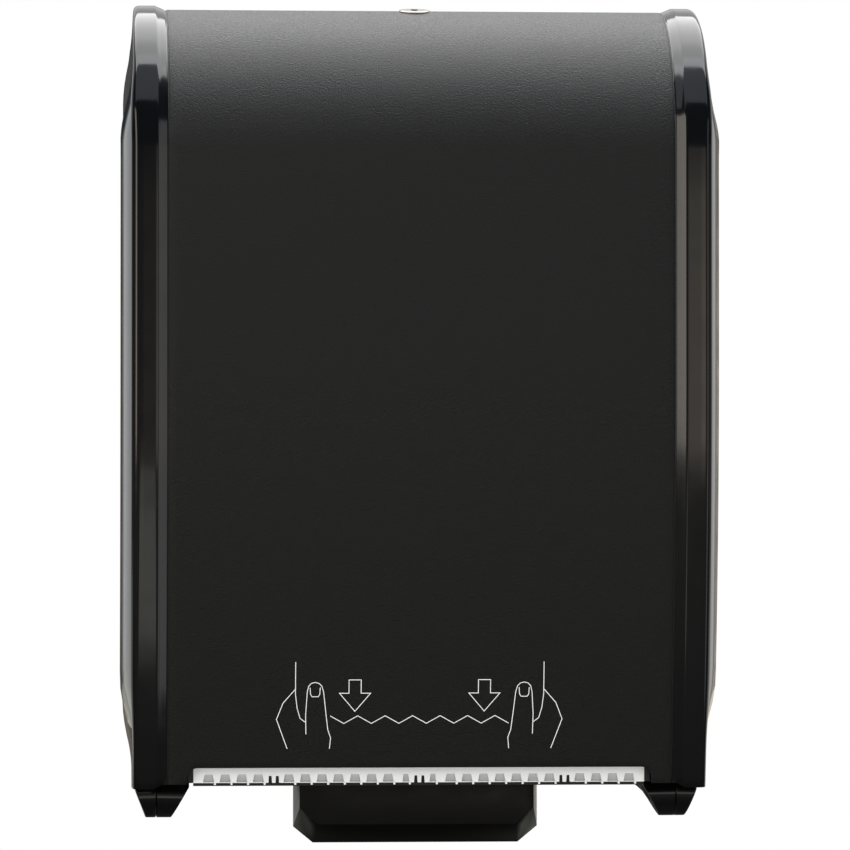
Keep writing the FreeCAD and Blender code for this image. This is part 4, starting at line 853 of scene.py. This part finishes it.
def in_the_wall(y, z):
    return half_width(y, max(z, case_bottom)) - cover_wall / 2


def straight(x):
    """A rule for an end that stays at one X."""
    return lambda y, z: x


def block_outline(y0, y1, z0, z1):
    return [(y0, z0), (y1, z0), (y1, z1), (y0, z1)]


def around_hinge(radius, turn):
    return hinge_y + radius * math.sin(turn), hinge_z + radius * math.cos(turn)


def lug_outline():
    """The eye, open at the top where the neck joins it."""
    meet = math.asin(neck_half / eye_radius)
    sweep = 2 * math.pi - 2 * meet
    outline = [around_hinge(eye_radius, meet + sweep * i / eye_steps) for i in range(eye_steps + 1)]
    return outline + [(hinge_y - neck_half, neck_top), (hinge_y + neck_half, neck_top)]


print("corners round a lug", len(lug_outline()))

# %% Build the feet and the flange
web_lap = 2 * mm
web_top = case_bottom + 17 * mm
web_inner = 137 * mm
flange_depth = 14 * mm
flange_height = 2.6 * mm
flange_gap = 1 * mm
flange_lift = 0.02 * mm

feet = bmesh.new()
prism(feet, lug_outline(), straight(lug_inner), lug_outer)
prism(feet, [around_hinge(boss_radius, 2 * math.pi * i / boss_sides) for i in range(boss_sides)],
      straight(lug_inner - boss_rise), straight(lug_inner + boss_sunk))
prism(feet, block_outline(hinge_y - neck_half, hinge_y + neck_half, neck_top - web_lap, web_top),
      straight(web_inner), in_the_wall)
low_front = bow_depth - case_depth
prism(feet, block_outline(low_front + flange_gap, low_front + flange_depth,
                          case_bottom + flange_lift, case_bottom + flange_height),
      straight(lift_end), in_the_wall)
mirrored_copy(feet)
prism_piece("cover_feet", feet, gloss_abs, 0.7 * mm, "cover", "cover_black", "front_cover")

# %% [markdown]
# ## The printed instruction
# A small print near the slot shows how to take a towel: both hands, two arrows down and a line
# of teeth. It is drawn here as plain strokes of one width. Each stroke is a flat ribbon that
# follows the bowed panel, a few hundredths of a millimetre above it, and gets a film thickness.

# %% Lines of the print
print_middle = -0.7 * mm
zigzag_half = 44.2 * mm
zigzag_z = -158.7 * mm
tooth_half_height = 1.9 * mm
half_tooth_count = 13
arrow_place = 32.0 * mm
arrow_tip = -154.6 * mm
hand_place = 51.7 * mm
hand_lines = (                         # (x, z) in mm from the thumb's middle and the line of teeth
    ((4.4, -7.2), (4.6, 2.6), (3.9, 13.6), (3.2, 16.6), (1.9, 18.0), (0.0, 18.5), (-1.9, 18.0),
     (-3.3, 16.6), (-4.2, 13.6), (-5.4, 3.0), (-6.4, -5.0), (-7.8, -9.0), (-7.3, -14.4)),
    ((2.5, 15.9), (2.3, 12.6), (1.5, 11.4), (-1.5, 11.4), (-2.3, 12.6), (-2.5, 15.9)),
    ((9.7, 28.6), (9.7, 12.6), (8.9, 6.0), (7.4, 0.8), (4.8, -1.2)),
    ((9.7, 15.2), (15.8, 8.3), (19.0, 0.2), (13.6, -14.4)),
)


def arrow_points(x):
    """Outline of a block arrow that points down."""
    stem, head, neck, height = 3.0 * mm, 7.7 * mm, 9.0 * mm, 15.6 * mm
    half = [(stem, arrow_tip + height), (stem, arrow_tip + neck), (head, arrow_tip + neck)]
    left = [(x - px, pz) for px, pz in half]
    return left + [(x, arrow_tip)] + [(x + px, pz) for px, pz in half[::-1]]


print("lines of a hand", len(hand_lines), "corners of an arrow", len(arrow_points(arrow_place)))

# %% Strokes as ribbons
stroke_width = 0.36 * mm
stroke_step = 3.0 * mm                 # short enough to follow the bow
least_mitre = 0.4                      # keeps a sharp corner's point short
ink_rise = 0.03 * mm


def ribbon(mesh, points, closed=False):
    """A flat stroke through (x, z) points on the panel, mitred at its corners."""
    corners = [Vector(p) for p in points]
    points = []
    for here, after in zip(corners, corners[1:] + corners[:1] if closed else corners[1:]):
        parts = max(1, round((after - here).length / stroke_step))
        points += [here.lerp(after, i / parts) for i in range(parts)]
    if not closed:
        points.append(corners[-1])
    count = len(points)
    pairs = []
    for i in range(count):
        before = points[i - 1] if closed or i > 0 else None
        here = points[i]
        after = points[(i + 1) % count] if closed or i < count - 1 else None
        first = (here - before).normalized() if before else (after - here).normalized()
        second = (after - here).normalized() if after else first
        side = Vector((-(first + second).y, (first + second).x)).normalized()
        reach = stroke_width / 2 / max(side.dot(Vector((-first.y, first.x))), least_mitre)
        pair = []
        for sign in (-1, 1):
            x, z = here + side * reach * sign
            (y, z), out = front_place(z, panel_recess - ink_rise)
            pair.append(mesh.verts.new((x, y, z)))
        pairs.append(pair)
    for i in range(count if closed else count - 1):
        a, b = pairs[i], pairs[(i + 1) % count]
        mesh.faces.new((a[0], a[1], b[1], b[0]))


print("stroke %.2f mm wide" % (stroke_width / mm))

# %% Build the print
ink_film = 0.04 * mm

ink = bmesh.new()
step = 2 * zigzag_half / half_tooth_count
ribbon(ink, [(print_middle - zigzag_half + i * step, zigzag_z + tooth_half_height * (-1) ** i)
             for i in range(half_tooth_count + 1)])
for side in (-1, 1):
    ribbon(ink, arrow_points(print_middle + side * arrow_place), closed=True)
    for line in hand_lines:
        ribbon(ink, [(print_middle + side * (hand_place + x * mm), zigzag_z + z * mm)
                     for x, z in line])
bmesh.ops.recalc_face_normals(ink, faces=ink.faces)
for face in ink.faces:
    if face.normal.y > 0:
        face.normal_flip()
instruction = new_piece("panel_print", mesh_data(ink, "panel print"), [white_ink])
film = instruction.modifiers.new("film", "SOLIDIFY")
film.thickness = ink_film
film.offset = 1.0
applied(instruction)
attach(instruction, "cover")
print("print faces", len(instruction.data.polygons))

# %% [markdown]
# ## Geometry Nodes: the helpers
# What repeats on this dispenser is grown by Geometry Nodes: the comb's windows, the screws, the
# ribs of the rubber bands and the wire of every spring. Each tree gets named inputs for its
# sizes. A modifier stores an input under its socket's identifier, so the values are set through
# that before anything is evaluated. The result is then copied out as plain mesh.

# %% Helpers for growing pieces
def new_tree(name, sizes):
    """A Geometry Nodes tree with a geometry input and output, and one named input per size."""
    tree = bpy.data.node_groups.new(name, "GeometryNodeTree")
    tree.interface.new_socket(name="Geometry", in_out="INPUT", socket_type="NodeSocketGeometry")
    for label, kind in sizes.items():
        tree.interface.new_socket(name=label, in_out="INPUT", socket_type="NodeSocket" + kind)
    tree.interface.new_socket(name="Geometry", in_out="OUTPUT", socket_type="NodeSocketGeometry")
    return tree


def end_tree(tree, geometry, material):
    """Ends a tree in Realize Instances and Set Material."""
    real = add_node(tree, "GeometryNodeRealizeInstances", {0: geometry})
    painted = add_node(tree, "GeometryNodeSetMaterial", {"Geometry": real.outputs[0],
                                                         "Material": material})
    add_node(tree, "NodeGroupOutput", {0: painted.outputs[0]})


def grown(name, start, tree, sizes, material):
    """Runs a tree on a start mesh with the given sizes, and returns plain mesh as a piece."""
    piece = new_piece(name, start, [material])
    grow = piece.modifiers.new("grow", "NODES")
    grow.node_group = tree
    for item in tree.interface.items_tree:
        if item.in_out == "INPUT" and item.name in sizes:
            grow[item.identifier] = sizes[item.name]
    return applied(piece)


def point_cloud(name, places, **attributes):
    """A mesh of loose points with named attributes, to put instances on."""
    data = bpy.data.meshes.new(name)
    data.from_pydata([tuple(place) for place in places], [], [])
    for label, values in attributes.items():
        stored = data.attributes.new(label, "FLOAT_VECTOR", "POINT")
        for item, value in zip(stored.data, values):
            item.vector = value
    return data


print("growing helpers ready")

# %% [markdown]
# ## The frosted comb
# The comb closes the slot at the bottom. It is a flat bar with a row of small tapered windows
# sunk into its front, and three pairs of slits with a tooth between them. The tree puts one
# tapered cutter on every point, sized by an attribute, and takes them all out of the bar with a
# single Boolean. Short teeth hang between the windows. Two black posts end the row and a black
# strip stands behind it: both are painted shade, dark blocks where shade falls beside the comb
# and behind its slits.

# %% Sizes of the comb
comb_thickness = 2.2 * mm
comb_low = case_bottom + 2.8 * mm
comb_tip = case_bottom + 1.8 * mm
comb_top = case_bottom + 26 * mm
comb_half = 112 * mm
comb_end = 115 * mm
window_top = case_bottom + 7 * mm
window_height = 3.8 * mm
window_depth = 1.1 * mm
window_half = 2.7 * mm
narrow_half = 1.6 * mm
window_pitch = 8.2 * mm
first_window = 7.3 * mm
middle_windows = 8
side_gap = 72.2 * mm
end_window = 79.8 * mm
end_windows = 4
slit_place = 1.75 * mm
slit_half = 0.95 * mm
slit_top = case_bottom + 6.2 * mm
tooth_offset = 0.4 * mm
tooth_half = 0.5 * mm
tooth_lap = 0.3 * mm
shade_post_depth = 6.2 * mm
slit_shade_strip_depth = 1.2 * mm               # a black strip behind the bar, painted shade that makes its slits look dark
slit_shade_strip_drop = 0.6 * mm
slit_shade_strip_short = 2 * mm
narrow_shift = 0.6 * mm
window_taper = 0.72


def window_places():
    """Middle and half width of each window on the right half, from the middle outwards."""
    places = [(first_window - narrow_shift, narrow_half)]
    places += [(first_window + i * window_pitch, window_half) for i in range(1, middle_windows)]
    places += [(end_window + i * window_pitch, window_half) for i in range(end_windows)]
    return places


windows = [(sign * x, half) for x, half in window_places() for sign in (-1, 1)]
slits = [middle + sign * slit_place for middle in (-side_gap, 0.0, side_gap) for sign in (-1, 1)]
print("windows", len(windows), "slits", len(slits))

# %% The comb's tree
comb_tree = new_tree("comb", {"Bar size": "Vector", "Bar middle": "Vector", "Taper": "Float"})
given = add_node(comb_tree, "NodeGroupInput").outputs
bar = add_node(comb_tree, "GeometryNodeMeshCube", {"Size": given["Bar size"]})
bar_placed = add_node(comb_tree, "GeometryNodeTransform",
                      {"Geometry": bar.outputs[0], "Translation": given["Bar middle"]})
cutter = add_node(comb_tree, "GeometryNodeMeshCone",
                  {"Vertices": 4, "Radius Top": given["Taper"], "Radius Bottom": 2 ** 0.5,
                   "Depth": 2.0})
squared = add_node(comb_tree, "GeometryNodeTransform",
                   {"Geometry": cutter.outputs[0], "Translation": (0.0, 0.0, -1.0),
                    "Rotation": (0.0, 0.0, math.pi / 4)})
size = add_node(comb_tree, "GeometryNodeInputNamedAttribute", {"Name": "cut"},
                data_type="FLOAT_VECTOR")
cutters = add_node(comb_tree, "GeometryNodeInstanceOnPoints",
                   {"Points": given["Geometry"], "Instance": squared.outputs[0],
                    "Scale": size.outputs[0]})
loose = add_node(comb_tree, "GeometryNodeRealizeInstances", {0: cutters.outputs[0]})
cut_bar = add_node(comb_tree, "GeometryNodeMeshBoolean",
                   {0: bar_placed.outputs[0], 1: loose.outputs[0]}, operation="DIFFERENCE")
end_tree(comb_tree, cut_bar.outputs[0], frosted)
print("comb tree nodes", len(comb_tree.nodes))

# %% Grow the comb
cut_places = [(x, comb_front, window_top - window_height / 2) for x, half in windows]
cut_sizes = [(half, window_depth, window_height / 2) for x, half in windows]
slit_low = comb_low - 1 * mm
cut_places += [(x, comb_front + comb_thickness / 2, (slit_top + slit_low) / 2) for x in slits]
cut_sizes += [(slit_half, 2 * comb_thickness, (slit_top - slit_low) / 2) for x in slits]
comb_bar = grown("comb_bar", point_cloud("comb cuts", cut_places, cut=cut_sizes), comb_tree,
                 {"Bar size": (2 * comb_half, comb_thickness, comb_top - comb_low),
                  "Bar middle": (0.0, comb_front + comb_thickness / 2, (comb_top + comb_low) / 2),
                  "Taper": window_taper * 2 ** 0.5}, frosted)
round_edges(comb_bar, 0.12 * mm, segments=1)
fitted(comb_bar, "wall_frame", "comb_frosted", "towel_guide_comb")
print("comb faces", len(comb_bar.data.polygons))

# %% Add the comb's teeth, and its posts and strip of painted shade
teeth = bmesh.new()
for x, half in windows:
    middle = x + half + tooth_offset
    prism(teeth, block_outline(comb_front, comb_front + comb_thickness, comb_tip,
                               comb_low + tooth_lap),
          straight(middle - tooth_half), straight(middle + tooth_half))
prism_piece("comb_teeth", teeth, frosted, 0.15 * mm, "wall_frame", "comb_frosted",
            "towel_guide_comb", segments=2)

# painted shade: black posts fill the row's ends, where shade falls beside the comb
end_shade_posts = bmesh.new()
prism(end_shade_posts, block_outline(comb_front, comb_front + shade_post_depth, comb_low, comb_top),
      straight(comb_half), straight(comb_end))
mirrored_copy(end_shade_posts)
prism_piece("comb_end_shade_posts", end_shade_posts, guide_abs, 0.4 * mm, "wall_frame", "guide_black",
            "towel_guide_comb")

# painted shade: a black strip behind the bar darkens its slits
slit_shade_strip = bmesh.new()
comb_back = comb_front + comb_thickness
prism(slit_shade_strip, block_outline(comb_back, comb_back + slit_shade_strip_depth, comb_tip - slit_shade_strip_drop,
                             comb_top - slit_shade_strip_short), straight(-comb_half), straight(comb_half))
prism_piece("comb_slit_shade_strip", slit_shade_strip, guide_abs, 0.2 * mm, "wall_frame", "guide_black",
            "towel_guide_comb")

# %% [markdown]
# ## Wound springs
# Every spring is one unbroken wire. Python works out the wire's middle line: a hook, a rising
# first turn, the close turns and a second hook, or only open turns with closed ends for a
# spring that is pressed. A small tree then sweeps the wire's round section along that line.

# %% The middle line of a hooked spring
drum_y = -164 * mm
drum_z = -132 * mm
points_per_turn = 14
hook_steps = 14
hook_sweep = 290                       # degrees
neck_share = 1.4                       # of the coil's radius, from hook to coil
loose_share = 1.04                     # of the wire's width, from turn to turn


def polar(radius, degrees):
    """A place in the Y-Z plane, measured about the drum's axis."""
    turn = math.radians(degrees)
    return drum_y + radius * math.cos(turn), drum_z + radius * math.sin(turn)


def coil_frame(start, end):
    """Unit vectors of a coil: along it, and two across it, the first towards +X."""
    along = (end - start).normalized()
    across = Vector((1, 0, 0))
    return along, across, along.cross(across)


def hooked_line(start, end, radius, wire, hook):
    """An extension spring between two pins that lie along X."""
    along, across, up = coil_frame(start, end)
    neck = neck_share * radius
    body = (end - start).length - 2 * (hook + neck)
    turns = int(body / (2 * wire * loose_share))
    points = []
    for i in range(hook_steps + 1):
        turn = math.radians(hook_sweep * (1 - i / hook_steps))
        points.append(start + along * hook * math.cos(turn) + up * hook * math.sin(turn))
    total = turns * points_per_turn
    for i in range(total + 1):
        share = i / total
        spread = min(1.0, 3.0 * i / points_per_turn, 3.0 * (total - i) / points_per_turn)
        turn = 2 * math.pi * i / points_per_turn
        middle = start + along * (hook + neck + body * share)
        out = across * math.cos(turn) + up * math.sin(turn)
        points.append(middle + out * (radius - wire) * spread)
    for i in range(hook_steps + 1):
        turn = math.radians(hook_sweep * i / hook_steps)
        points.append(end - along * hook * math.cos(turn) - up * hook * math.sin(turn))
    return points


print("a hook turns %d degrees" % hook_sweep)

# %% The middle line of a pressed spring
def pressed_line(start, end, radius, wire, turns):
    """A compression spring: open turns between one closed turn at each end."""
    along, across, up = coil_frame(start, end)
    length = (end - start).length
    total = int((turns + 2) * points_per_turn)
    points = []
    for i in range(total + 1):
        turn = 2 * math.pi * i / points_per_turn
        open_share = min(max((i / points_per_turn - 1) / turns, 0.0), 1.0)
        closed = min(i / points_per_turn, 1.0) + max(i / points_per_turn - 1 - turns, 0.0)
        rise = wire + 2 * wire * closed + (length - 6 * wire) * open_share
        points.append(start + along * rise
                      + (across * math.cos(turn) + up * math.sin(turn)) * (radius - wire))
    return points


print("spring lines ready")

# %% Sweep the wire
wire_tree = new_tree("wire along a line", {"Wire radius": "Float", "Sides": "Int"})
given = add_node(wire_tree, "NodeGroupInput").outputs
line = add_node(wire_tree, "GeometryNodeMeshToCurve", {0: given["Geometry"]})
section = add_node(wire_tree, "GeometryNodeCurvePrimitiveCircle",
                   {"Resolution": given["Sides"], "Radius": given["Wire radius"]})
swept = add_node(wire_tree, "GeometryNodeCurveToMesh",
                 {"Curve": line.outputs[0], "Profile Curve": section.outputs[0], "Fill Caps": True})
smooth = add_node(wire_tree, "GeometryNodeSetShadeSmooth", {"Geometry": swept.outputs[0]})
end_tree(wire_tree, smooth.outputs[0], spring_wire)


def wire_piece(name, lines, wire):
    """One piece of swept wire from one or more middle lines."""
    points, edges = [], []
    for middle_line in lines:
        first = len(points)
        points += [tuple(p) for p in middle_line]
        edges += [(i, i + 1) for i in range(first, len(points) - 1)]
    data = bpy.data.meshes.new(name)
    data.from_pydata(points, edges, [])
    return grown(name, data, wire_tree, {"Wire radius": wire, "Sides": 8}, spring_wire)


print("wire tree nodes", len(wire_tree.nodes))

# %% Hook the long springs
wire = 0.45 * mm
coil_radius = 3.0 * mm
crank_hook, stud_hook = 3.6 * mm, 2.9 * mm  # radii of the hooks, on the crank's pin and on the stud
crank_spring_x = 132.2 * mm
crank_pin_orbit = 22 * mm
assist_post = (-100 * mm, -50 * mm)
crank_angle = math.degrees(math.atan2(assist_post[1] - drum_z, assist_post[0] - drum_y))
crank_pin = Vector((crank_spring_x, *polar(crank_pin_orbit, crank_angle)))
assist_end = Vector((crank_spring_x, *assist_post))
assist = wire_piece("assist_spring_coil",
                    [hooked_line(crank_pin, assist_end, coil_radius, wire, crank_hook)], wire)
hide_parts("assist_spring")
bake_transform(assist)

return_x = 126.2 * mm
stud_orbit, stud_angle = 40 * mm, -112
return_start = Vector((return_x, *polar(stud_orbit, stud_angle)))
return_end = Vector((return_x, -204 * mm, -152 * mm))
back = wire_piece("lever_return_spring_coil",
                  [hooked_line(return_start, return_end, coil_radius, wire, stud_hook)], wire)
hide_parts("lever_return_spring")
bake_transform(back)
print("hooked springs", len(assist.data.polygons) + len(back.data.polygons), "faces")

# %% Press the short springs
pinch_turn = math.radians(70)
pinch_out = Vector((0, math.cos(pinch_turn), math.sin(pinch_turn)))
pinch_reach = 56.3 * mm                # from the drum's axis to the foot of the springs
pinch_length = 11 * mm
pinch_x = 111.8 * mm
pinch_wire = 0.4 * mm
pinch_coil = 2.6 * mm
pinch_turns = 5
pinch_foot = Vector((0, drum_y, drum_z)) + pinch_out * pinch_reach
pinch_lines = []
for sign in (-1, 1):
    foot = pinch_foot + Vector((sign * pinch_x, 0, 0))
    pinch_lines.append(pressed_line(foot, foot + pinch_out * pinch_length, pinch_coil, pinch_wire,
                                    pinch_turns))
pinch = wire_piece("pinch_spring_coils", pinch_lines, pinch_wire)
fitted(pinch, "wall_frame", "spring_steel", "pinch_springs")
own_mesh(pinch)

arm_pin = (106.5 * mm, -13 * mm)
arm_wire = 0.6 * mm
arm_coil = 5.4 * mm
arm_turns = 7
arm_low, arm_high = [Vector((*arm_pin, corner[2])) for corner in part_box("right_arm_spring")]
arm_spring = wire_piece("right_arm_spring_coil",
                        [pressed_line(arm_low, arm_high, arm_coil, arm_wire, arm_turns)], arm_wire)
fitted(arm_spring, "wall_frame", "spring_steel", "right_arm_spring")
print("pressed springs", len(pinch.data.polygons) + len(arm_spring.data.polygons), "faces")

# %% [markdown]
# ## Screws
# Ten pan head screws hold the side frames and the roll arms. The tree flattens a sphere into
# the head's dome, takes a cross out of it with a Boolean and adds a short shank. A fixed seed
# turns each screw by its own angle, as real ones end up. The dome's rear half is sunk in the
# sheet that it holds, out of sight.

# %% The head of a screw
screw_tree = new_tree("pan head screws", {"Head radius": "Float", "Head height": "Float",
                                          "Slot length": "Float", "Slot width": "Float",
                                          "Shank radius": "Float", "Shank length": "Float"})
given = add_node(screw_tree, "NodeGroupInput").outputs
ball = add_node(screw_tree, "GeometryNodeMeshUVSphere",
                {"Segments": 28, "Rings": 14, "Radius": given["Head radius"]})
flatness = add_node(screw_tree, "ShaderNodeMath",
                    {0: given["Head height"], 1: given["Head radius"]},
                    operation="DIVIDE")
squash = add_node(screw_tree, "ShaderNodeCombineXYZ", {0: 1.0, 1: 1.0, 2: flatness.outputs[0]})
dome = add_node(screw_tree, "GeometryNodeTransform",
                {"Geometry": ball.outputs[0], "Scale": squash.outputs[0]})
slot_size = [add_node(screw_tree, "ShaderNodeCombineXYZ",
                      {first: given["Slot length"], 1 - first: given["Slot width"],
                       2: given["Head height"]}) for first in (0, 1)]
slot_bars = [add_node(screw_tree, "GeometryNodeMeshCube", {"Size": size.outputs[0]})
             for size in slot_size]
lift = add_node(screw_tree, "ShaderNodeCombineXYZ", {2: given["Head height"]})
raised = [add_node(screw_tree, "GeometryNodeTransform",
                   {"Geometry": slot_bar.outputs[0], "Translation": lift.outputs[0]})
          for slot_bar in slot_bars]
cross = add_node(screw_tree, "GeometryNodeMeshBoolean", operation="UNION")
for slot_bar in raised:
    screw_tree.links.new(slot_bar.outputs[0], cross.inputs[1])
head = add_node(screw_tree, "GeometryNodeMeshBoolean",
                {0: dome.outputs[0], 1: cross.outputs[0]}, operation="DIFFERENCE")
print("head nodes", len(screw_tree.nodes))

# %% The shank, and a screw on every place
shank = add_node(screw_tree, "GeometryNodeMeshCylinder",
                 {"Vertices": 16, "Radius": given["Shank radius"],
                  "Depth": given["Shank length"]})
half_length = add_node(screw_tree, "ShaderNodeMath",
                       {0: given["Shank length"], 1: -0.5}, operation="MULTIPLY")
sunk = add_node(screw_tree, "ShaderNodeCombineXYZ", {2: half_length.outputs[0]})
shank_placed = add_node(screw_tree, "GeometryNodeTransform",
                        {"Geometry": shank.outputs[0], "Translation": sunk.outputs[0]})
whole = add_node(screw_tree, "GeometryNodeJoinGeometry")
for item in (head, shank_placed):
    screw_tree.links.new(item.outputs[0], whole.inputs[0])
turned = add_node(screw_tree, "GeometryNodeTransform",
                  {"Geometry": whole.outputs[0], "Rotation": (math.pi / 2, 0.0, 0.0)})
screw_turn = add_node(screw_tree, "FunctionNodeRandomValue",
                      {0: (0.0, 0.0, 0.0), 1: (0.0, math.pi / 2, 0.0), "Seed": 7},
                      data_type="FLOAT_VECTOR")
screws = add_node(screw_tree, "GeometryNodeInstanceOnPoints",
                  {"Points": given["Geometry"], "Instance": turned.outputs[0],
                   "Rotation": screw_turn.outputs[0]})
end_tree(screw_tree, screws.outputs[0], screw_steel)
print("screw tree nodes", len(screw_tree.nodes))

# %% Grow the screws
screw_seat = -6.0 * mm
screw_rows = ((108, (-160, -105, -50)), (92, (68, 108)))  # X and Z in mm, frames and then arms
screw_places = [(sign * x * mm, screw_seat, z * mm)
                for x, heights in screw_rows for sign in (-1, 1) for z in heights]
screw_piece = grown("frame_screw_heads", point_cloud("screw places", screw_places), screw_tree,
                    {"Head radius": 4.0 * mm, "Head height": 2.2 * mm, "Slot length": 4.4 * mm,
                     "Slot width": 0.9 * mm, "Shank radius": 2.0 * mm, "Shank length": 5.4 * mm},
                    screw_steel)
fitted(screw_piece, "wall_frame", "screw_steel", "frame_screws")
print("screw faces", len(screw_piece.data.polygons))

# %% [markdown]
# ## Ribbed rubber bands
# Six rubber bands round the drum carry the towel. Each is a thin sleeve with a gap at the
# knife's slot, and fine ribs across its width that bite into the paper. The tree bends a flat
# strip round an arc, puts a round rib on every point of the same arc, and copies the band along
# the drum.

# %% The bands' tree
band_tree = new_tree("ribbed bands", {"Radius": "Float", "Rib radius": "Float", "Width": "Float",
                                      "Gap": "Float", "Ribs": "Int", "Bands": "Int",
                                      "Pitch": "Float", "First": "Vector"})
given = add_node(band_tree, "NodeGroupInput").outputs
gap_twice = add_node(band_tree, "ShaderNodeMath", {0: given["Gap"], 1: 2.0},
                     operation="MULTIPLY")
sweep = add_node(band_tree, "ShaderNodeMath", {0: 2 * math.pi, 1: gap_twice.outputs[0]},
                 operation="SUBTRACT")
arc = add_node(band_tree, "GeometryNodeCurveArc",
               {"Resolution": given["Ribs"], "Radius": given["Radius"],
                "Start Angle": given["Gap"], "Sweep Angle": sweep.outputs[0]})
strip = add_node(band_tree, "GeometryNodeCurvePrimitiveQuadrilateral",
                 {0: given["Rib radius"], 1: given["Width"]})
sleeve = add_node(band_tree, "GeometryNodeCurveToMesh",
                  {"Curve": arc.outputs[0], "Profile Curve": strip.outputs[0], "Fill Caps": True})
rib = add_node(band_tree, "GeometryNodeMeshCylinder",
               {"Vertices": 8, "Radius": given["Rib radius"], "Depth": given["Width"]})
ribs = add_node(band_tree, "GeometryNodeInstanceOnPoints",
                {"Points": arc.outputs[0], "Instance": rib.outputs[0]})
band = add_node(band_tree, "GeometryNodeJoinGeometry")
for item in (sleeve, ribs):
    band_tree.links.new(item.outputs[0], band.inputs[0])
upright = add_node(band_tree, "GeometryNodeTransform",
                   {"Geometry": band.outputs[0], "Rotation": (math.pi / 2, 0.0, math.pi / 2)})
pitch = add_node(band_tree, "ShaderNodeCombineXYZ", {0: given["Pitch"]})
row = add_node(band_tree, "GeometryNodeMeshLine",
               {"Count": given["Bands"], "Start Location": given["First"],
                "Offset": pitch.outputs[0]}, mode="OFFSET")
bands = add_node(band_tree, "GeometryNodeInstanceOnPoints",
                 {"Points": row.outputs[0], "Instance": upright.outputs[0]})
end_tree(band_tree, bands.outputs[0], rubber)
print("band tree nodes", len(band_tree.nodes))

# %% Grow the bands
band_count = 6
band_pitch = 32 * mm
first_band = (-(band_count - 1) / 2 * band_pitch, drum_y, drum_z)
band_piece = grown("rubber_bands", point_cloud("band start", [(0, 0, 0)]), band_tree,
                   {"Radius": 39.5 * mm, "Rib radius": 0.5 * mm, "Width": 16 * mm, "Gap": 0.116,
                    "Ribs": 104, "Bands": band_count, "Pitch": band_pitch, "First": first_band},
                   rubber)
fitted(band_piece, "drum", "band_rubber", "grip_bands")
print("band faces", len(band_piece.data.polygons))

# %% [markdown]
# ## Moulded and pressed pieces with rounded edges
# A CAD solid comes in as loose triangles with knife-sharp edges, and no real part has those.
# For each piece below a copy of its mesh is merged, its flat faces are cleaned, and its edges
# get the small round that moulding or pressing leaves. The copy then stands for the CAD node.

# %% Round the edges of CAD pieces
def cleaned_copy(node):
    """A merged copy of a node's mesh, with one face for each flat."""
    mesh = bmesh.new()
    mesh.from_mesh(frame["nodes"][node].data)
    bmesh.ops.remove_doubles(mesh, verts=mesh.verts, dist=0.001 * mm)
    bmesh.ops.dissolve_limit(mesh, angle_limit=math.radians(0.3), verts=mesh.verts,
                             edges=mesh.edges, delimit=set())
    return mesh_data(mesh, node + " mesh")


def softened(node, material, radius, corner=35.0):
    """A copy of a CAD node with rounded edges, riding where the node rides."""
    piece = new_piece(node + "_soft", cleaned_copy(node), [material])
    round_edges(piece, radius, corner, segments=2)
    return fitted(piece, body_of[node], slot_of[node], node)


soft_edges = {
    "feed_lever": (shaded_lever_abs, 0.9 * mm),
    "left_side_frame": (plated_steel, 0.25 * mm),
    "right_side_frame": (plated_steel, 0.25 * mm),
    "drum_guard": (guide_abs, 0.3 * mm),
    "rear_guide": (guide_abs, 0.3 * mm),
    "left_roll_arm": (guide_abs, 0.6 * mm),
    "right_roll_arm": (guide_abs, 0.6 * mm),
    "right_arm_bracket": (guide_abs, 0.5 * mm),
    "lock_keeper": (inner_abs, 0.3 * mm),
    "left_drum_cap": (drum_abs, 0.4 * mm),
    "right_drum_cap": (drum_abs, 0.4 * mm),
    "crank_disc": (white_acetal, 0.4 * mm),
    "left_knife_cam": (grey_acetal, 0.3 * mm),
    "right_knife_cam": (grey_acetal, 0.3 * mm),
    "pinch_blocks": (white_acetal, 0.3 * mm),
    "left_roll_hub": (hub_abs, 0.4 * mm),
    "right_roll_hub": (hub_abs, 0.4 * mm),
    "pawl": (grey_acetal, 0.3 * mm),
}
for node, (material, radius) in soft_edges.items():
    piece = softened(node, material, radius)
    print(node, "faces", len(piece.data.polygons))

# %% [markdown]
# ## The pieces that stay as CAD
# Turned shafts, pins and rollers, the toothed blade and ratchet and the big housing are right
# as they are. They keep their CAD mesh, and only get the finish of their material slot.

# %% Paint the remaining nodes
finish_of_slot = {
    "cover_black": gloss_abs, "housing_black": gloss_abs, "lever_black": gloss_abs,
    "guide_black": guide_abs, "comb_frosted": frosted, "frame_steel": plated_steel,
    "screw_steel": screw_steel, "pin_steel": ground_steel, "spring_steel": spring_wire,
    "blade_steel": blade_steel, "drum_grey": drum_abs, "acetal_grey": grey_acetal,
    "acetal_white": white_acetal, "hub_grey": hub_abs, "band_rubber": rubber,
    "lock_zinc": nickel,
}
for node, shown in frame["nodes"].items():
    finish = finish_of_slot[slot_of[node]]
    if not shown.data.materials:
        shown.data.materials.append(finish)
    for slot in shown.material_slots:
        slot.material = finish
print("painted", len(frame["nodes"]), "nodes")

# %% Print the CAD box
print("CAD box", [[round(c, 4) for c in v] for v in cad_box])
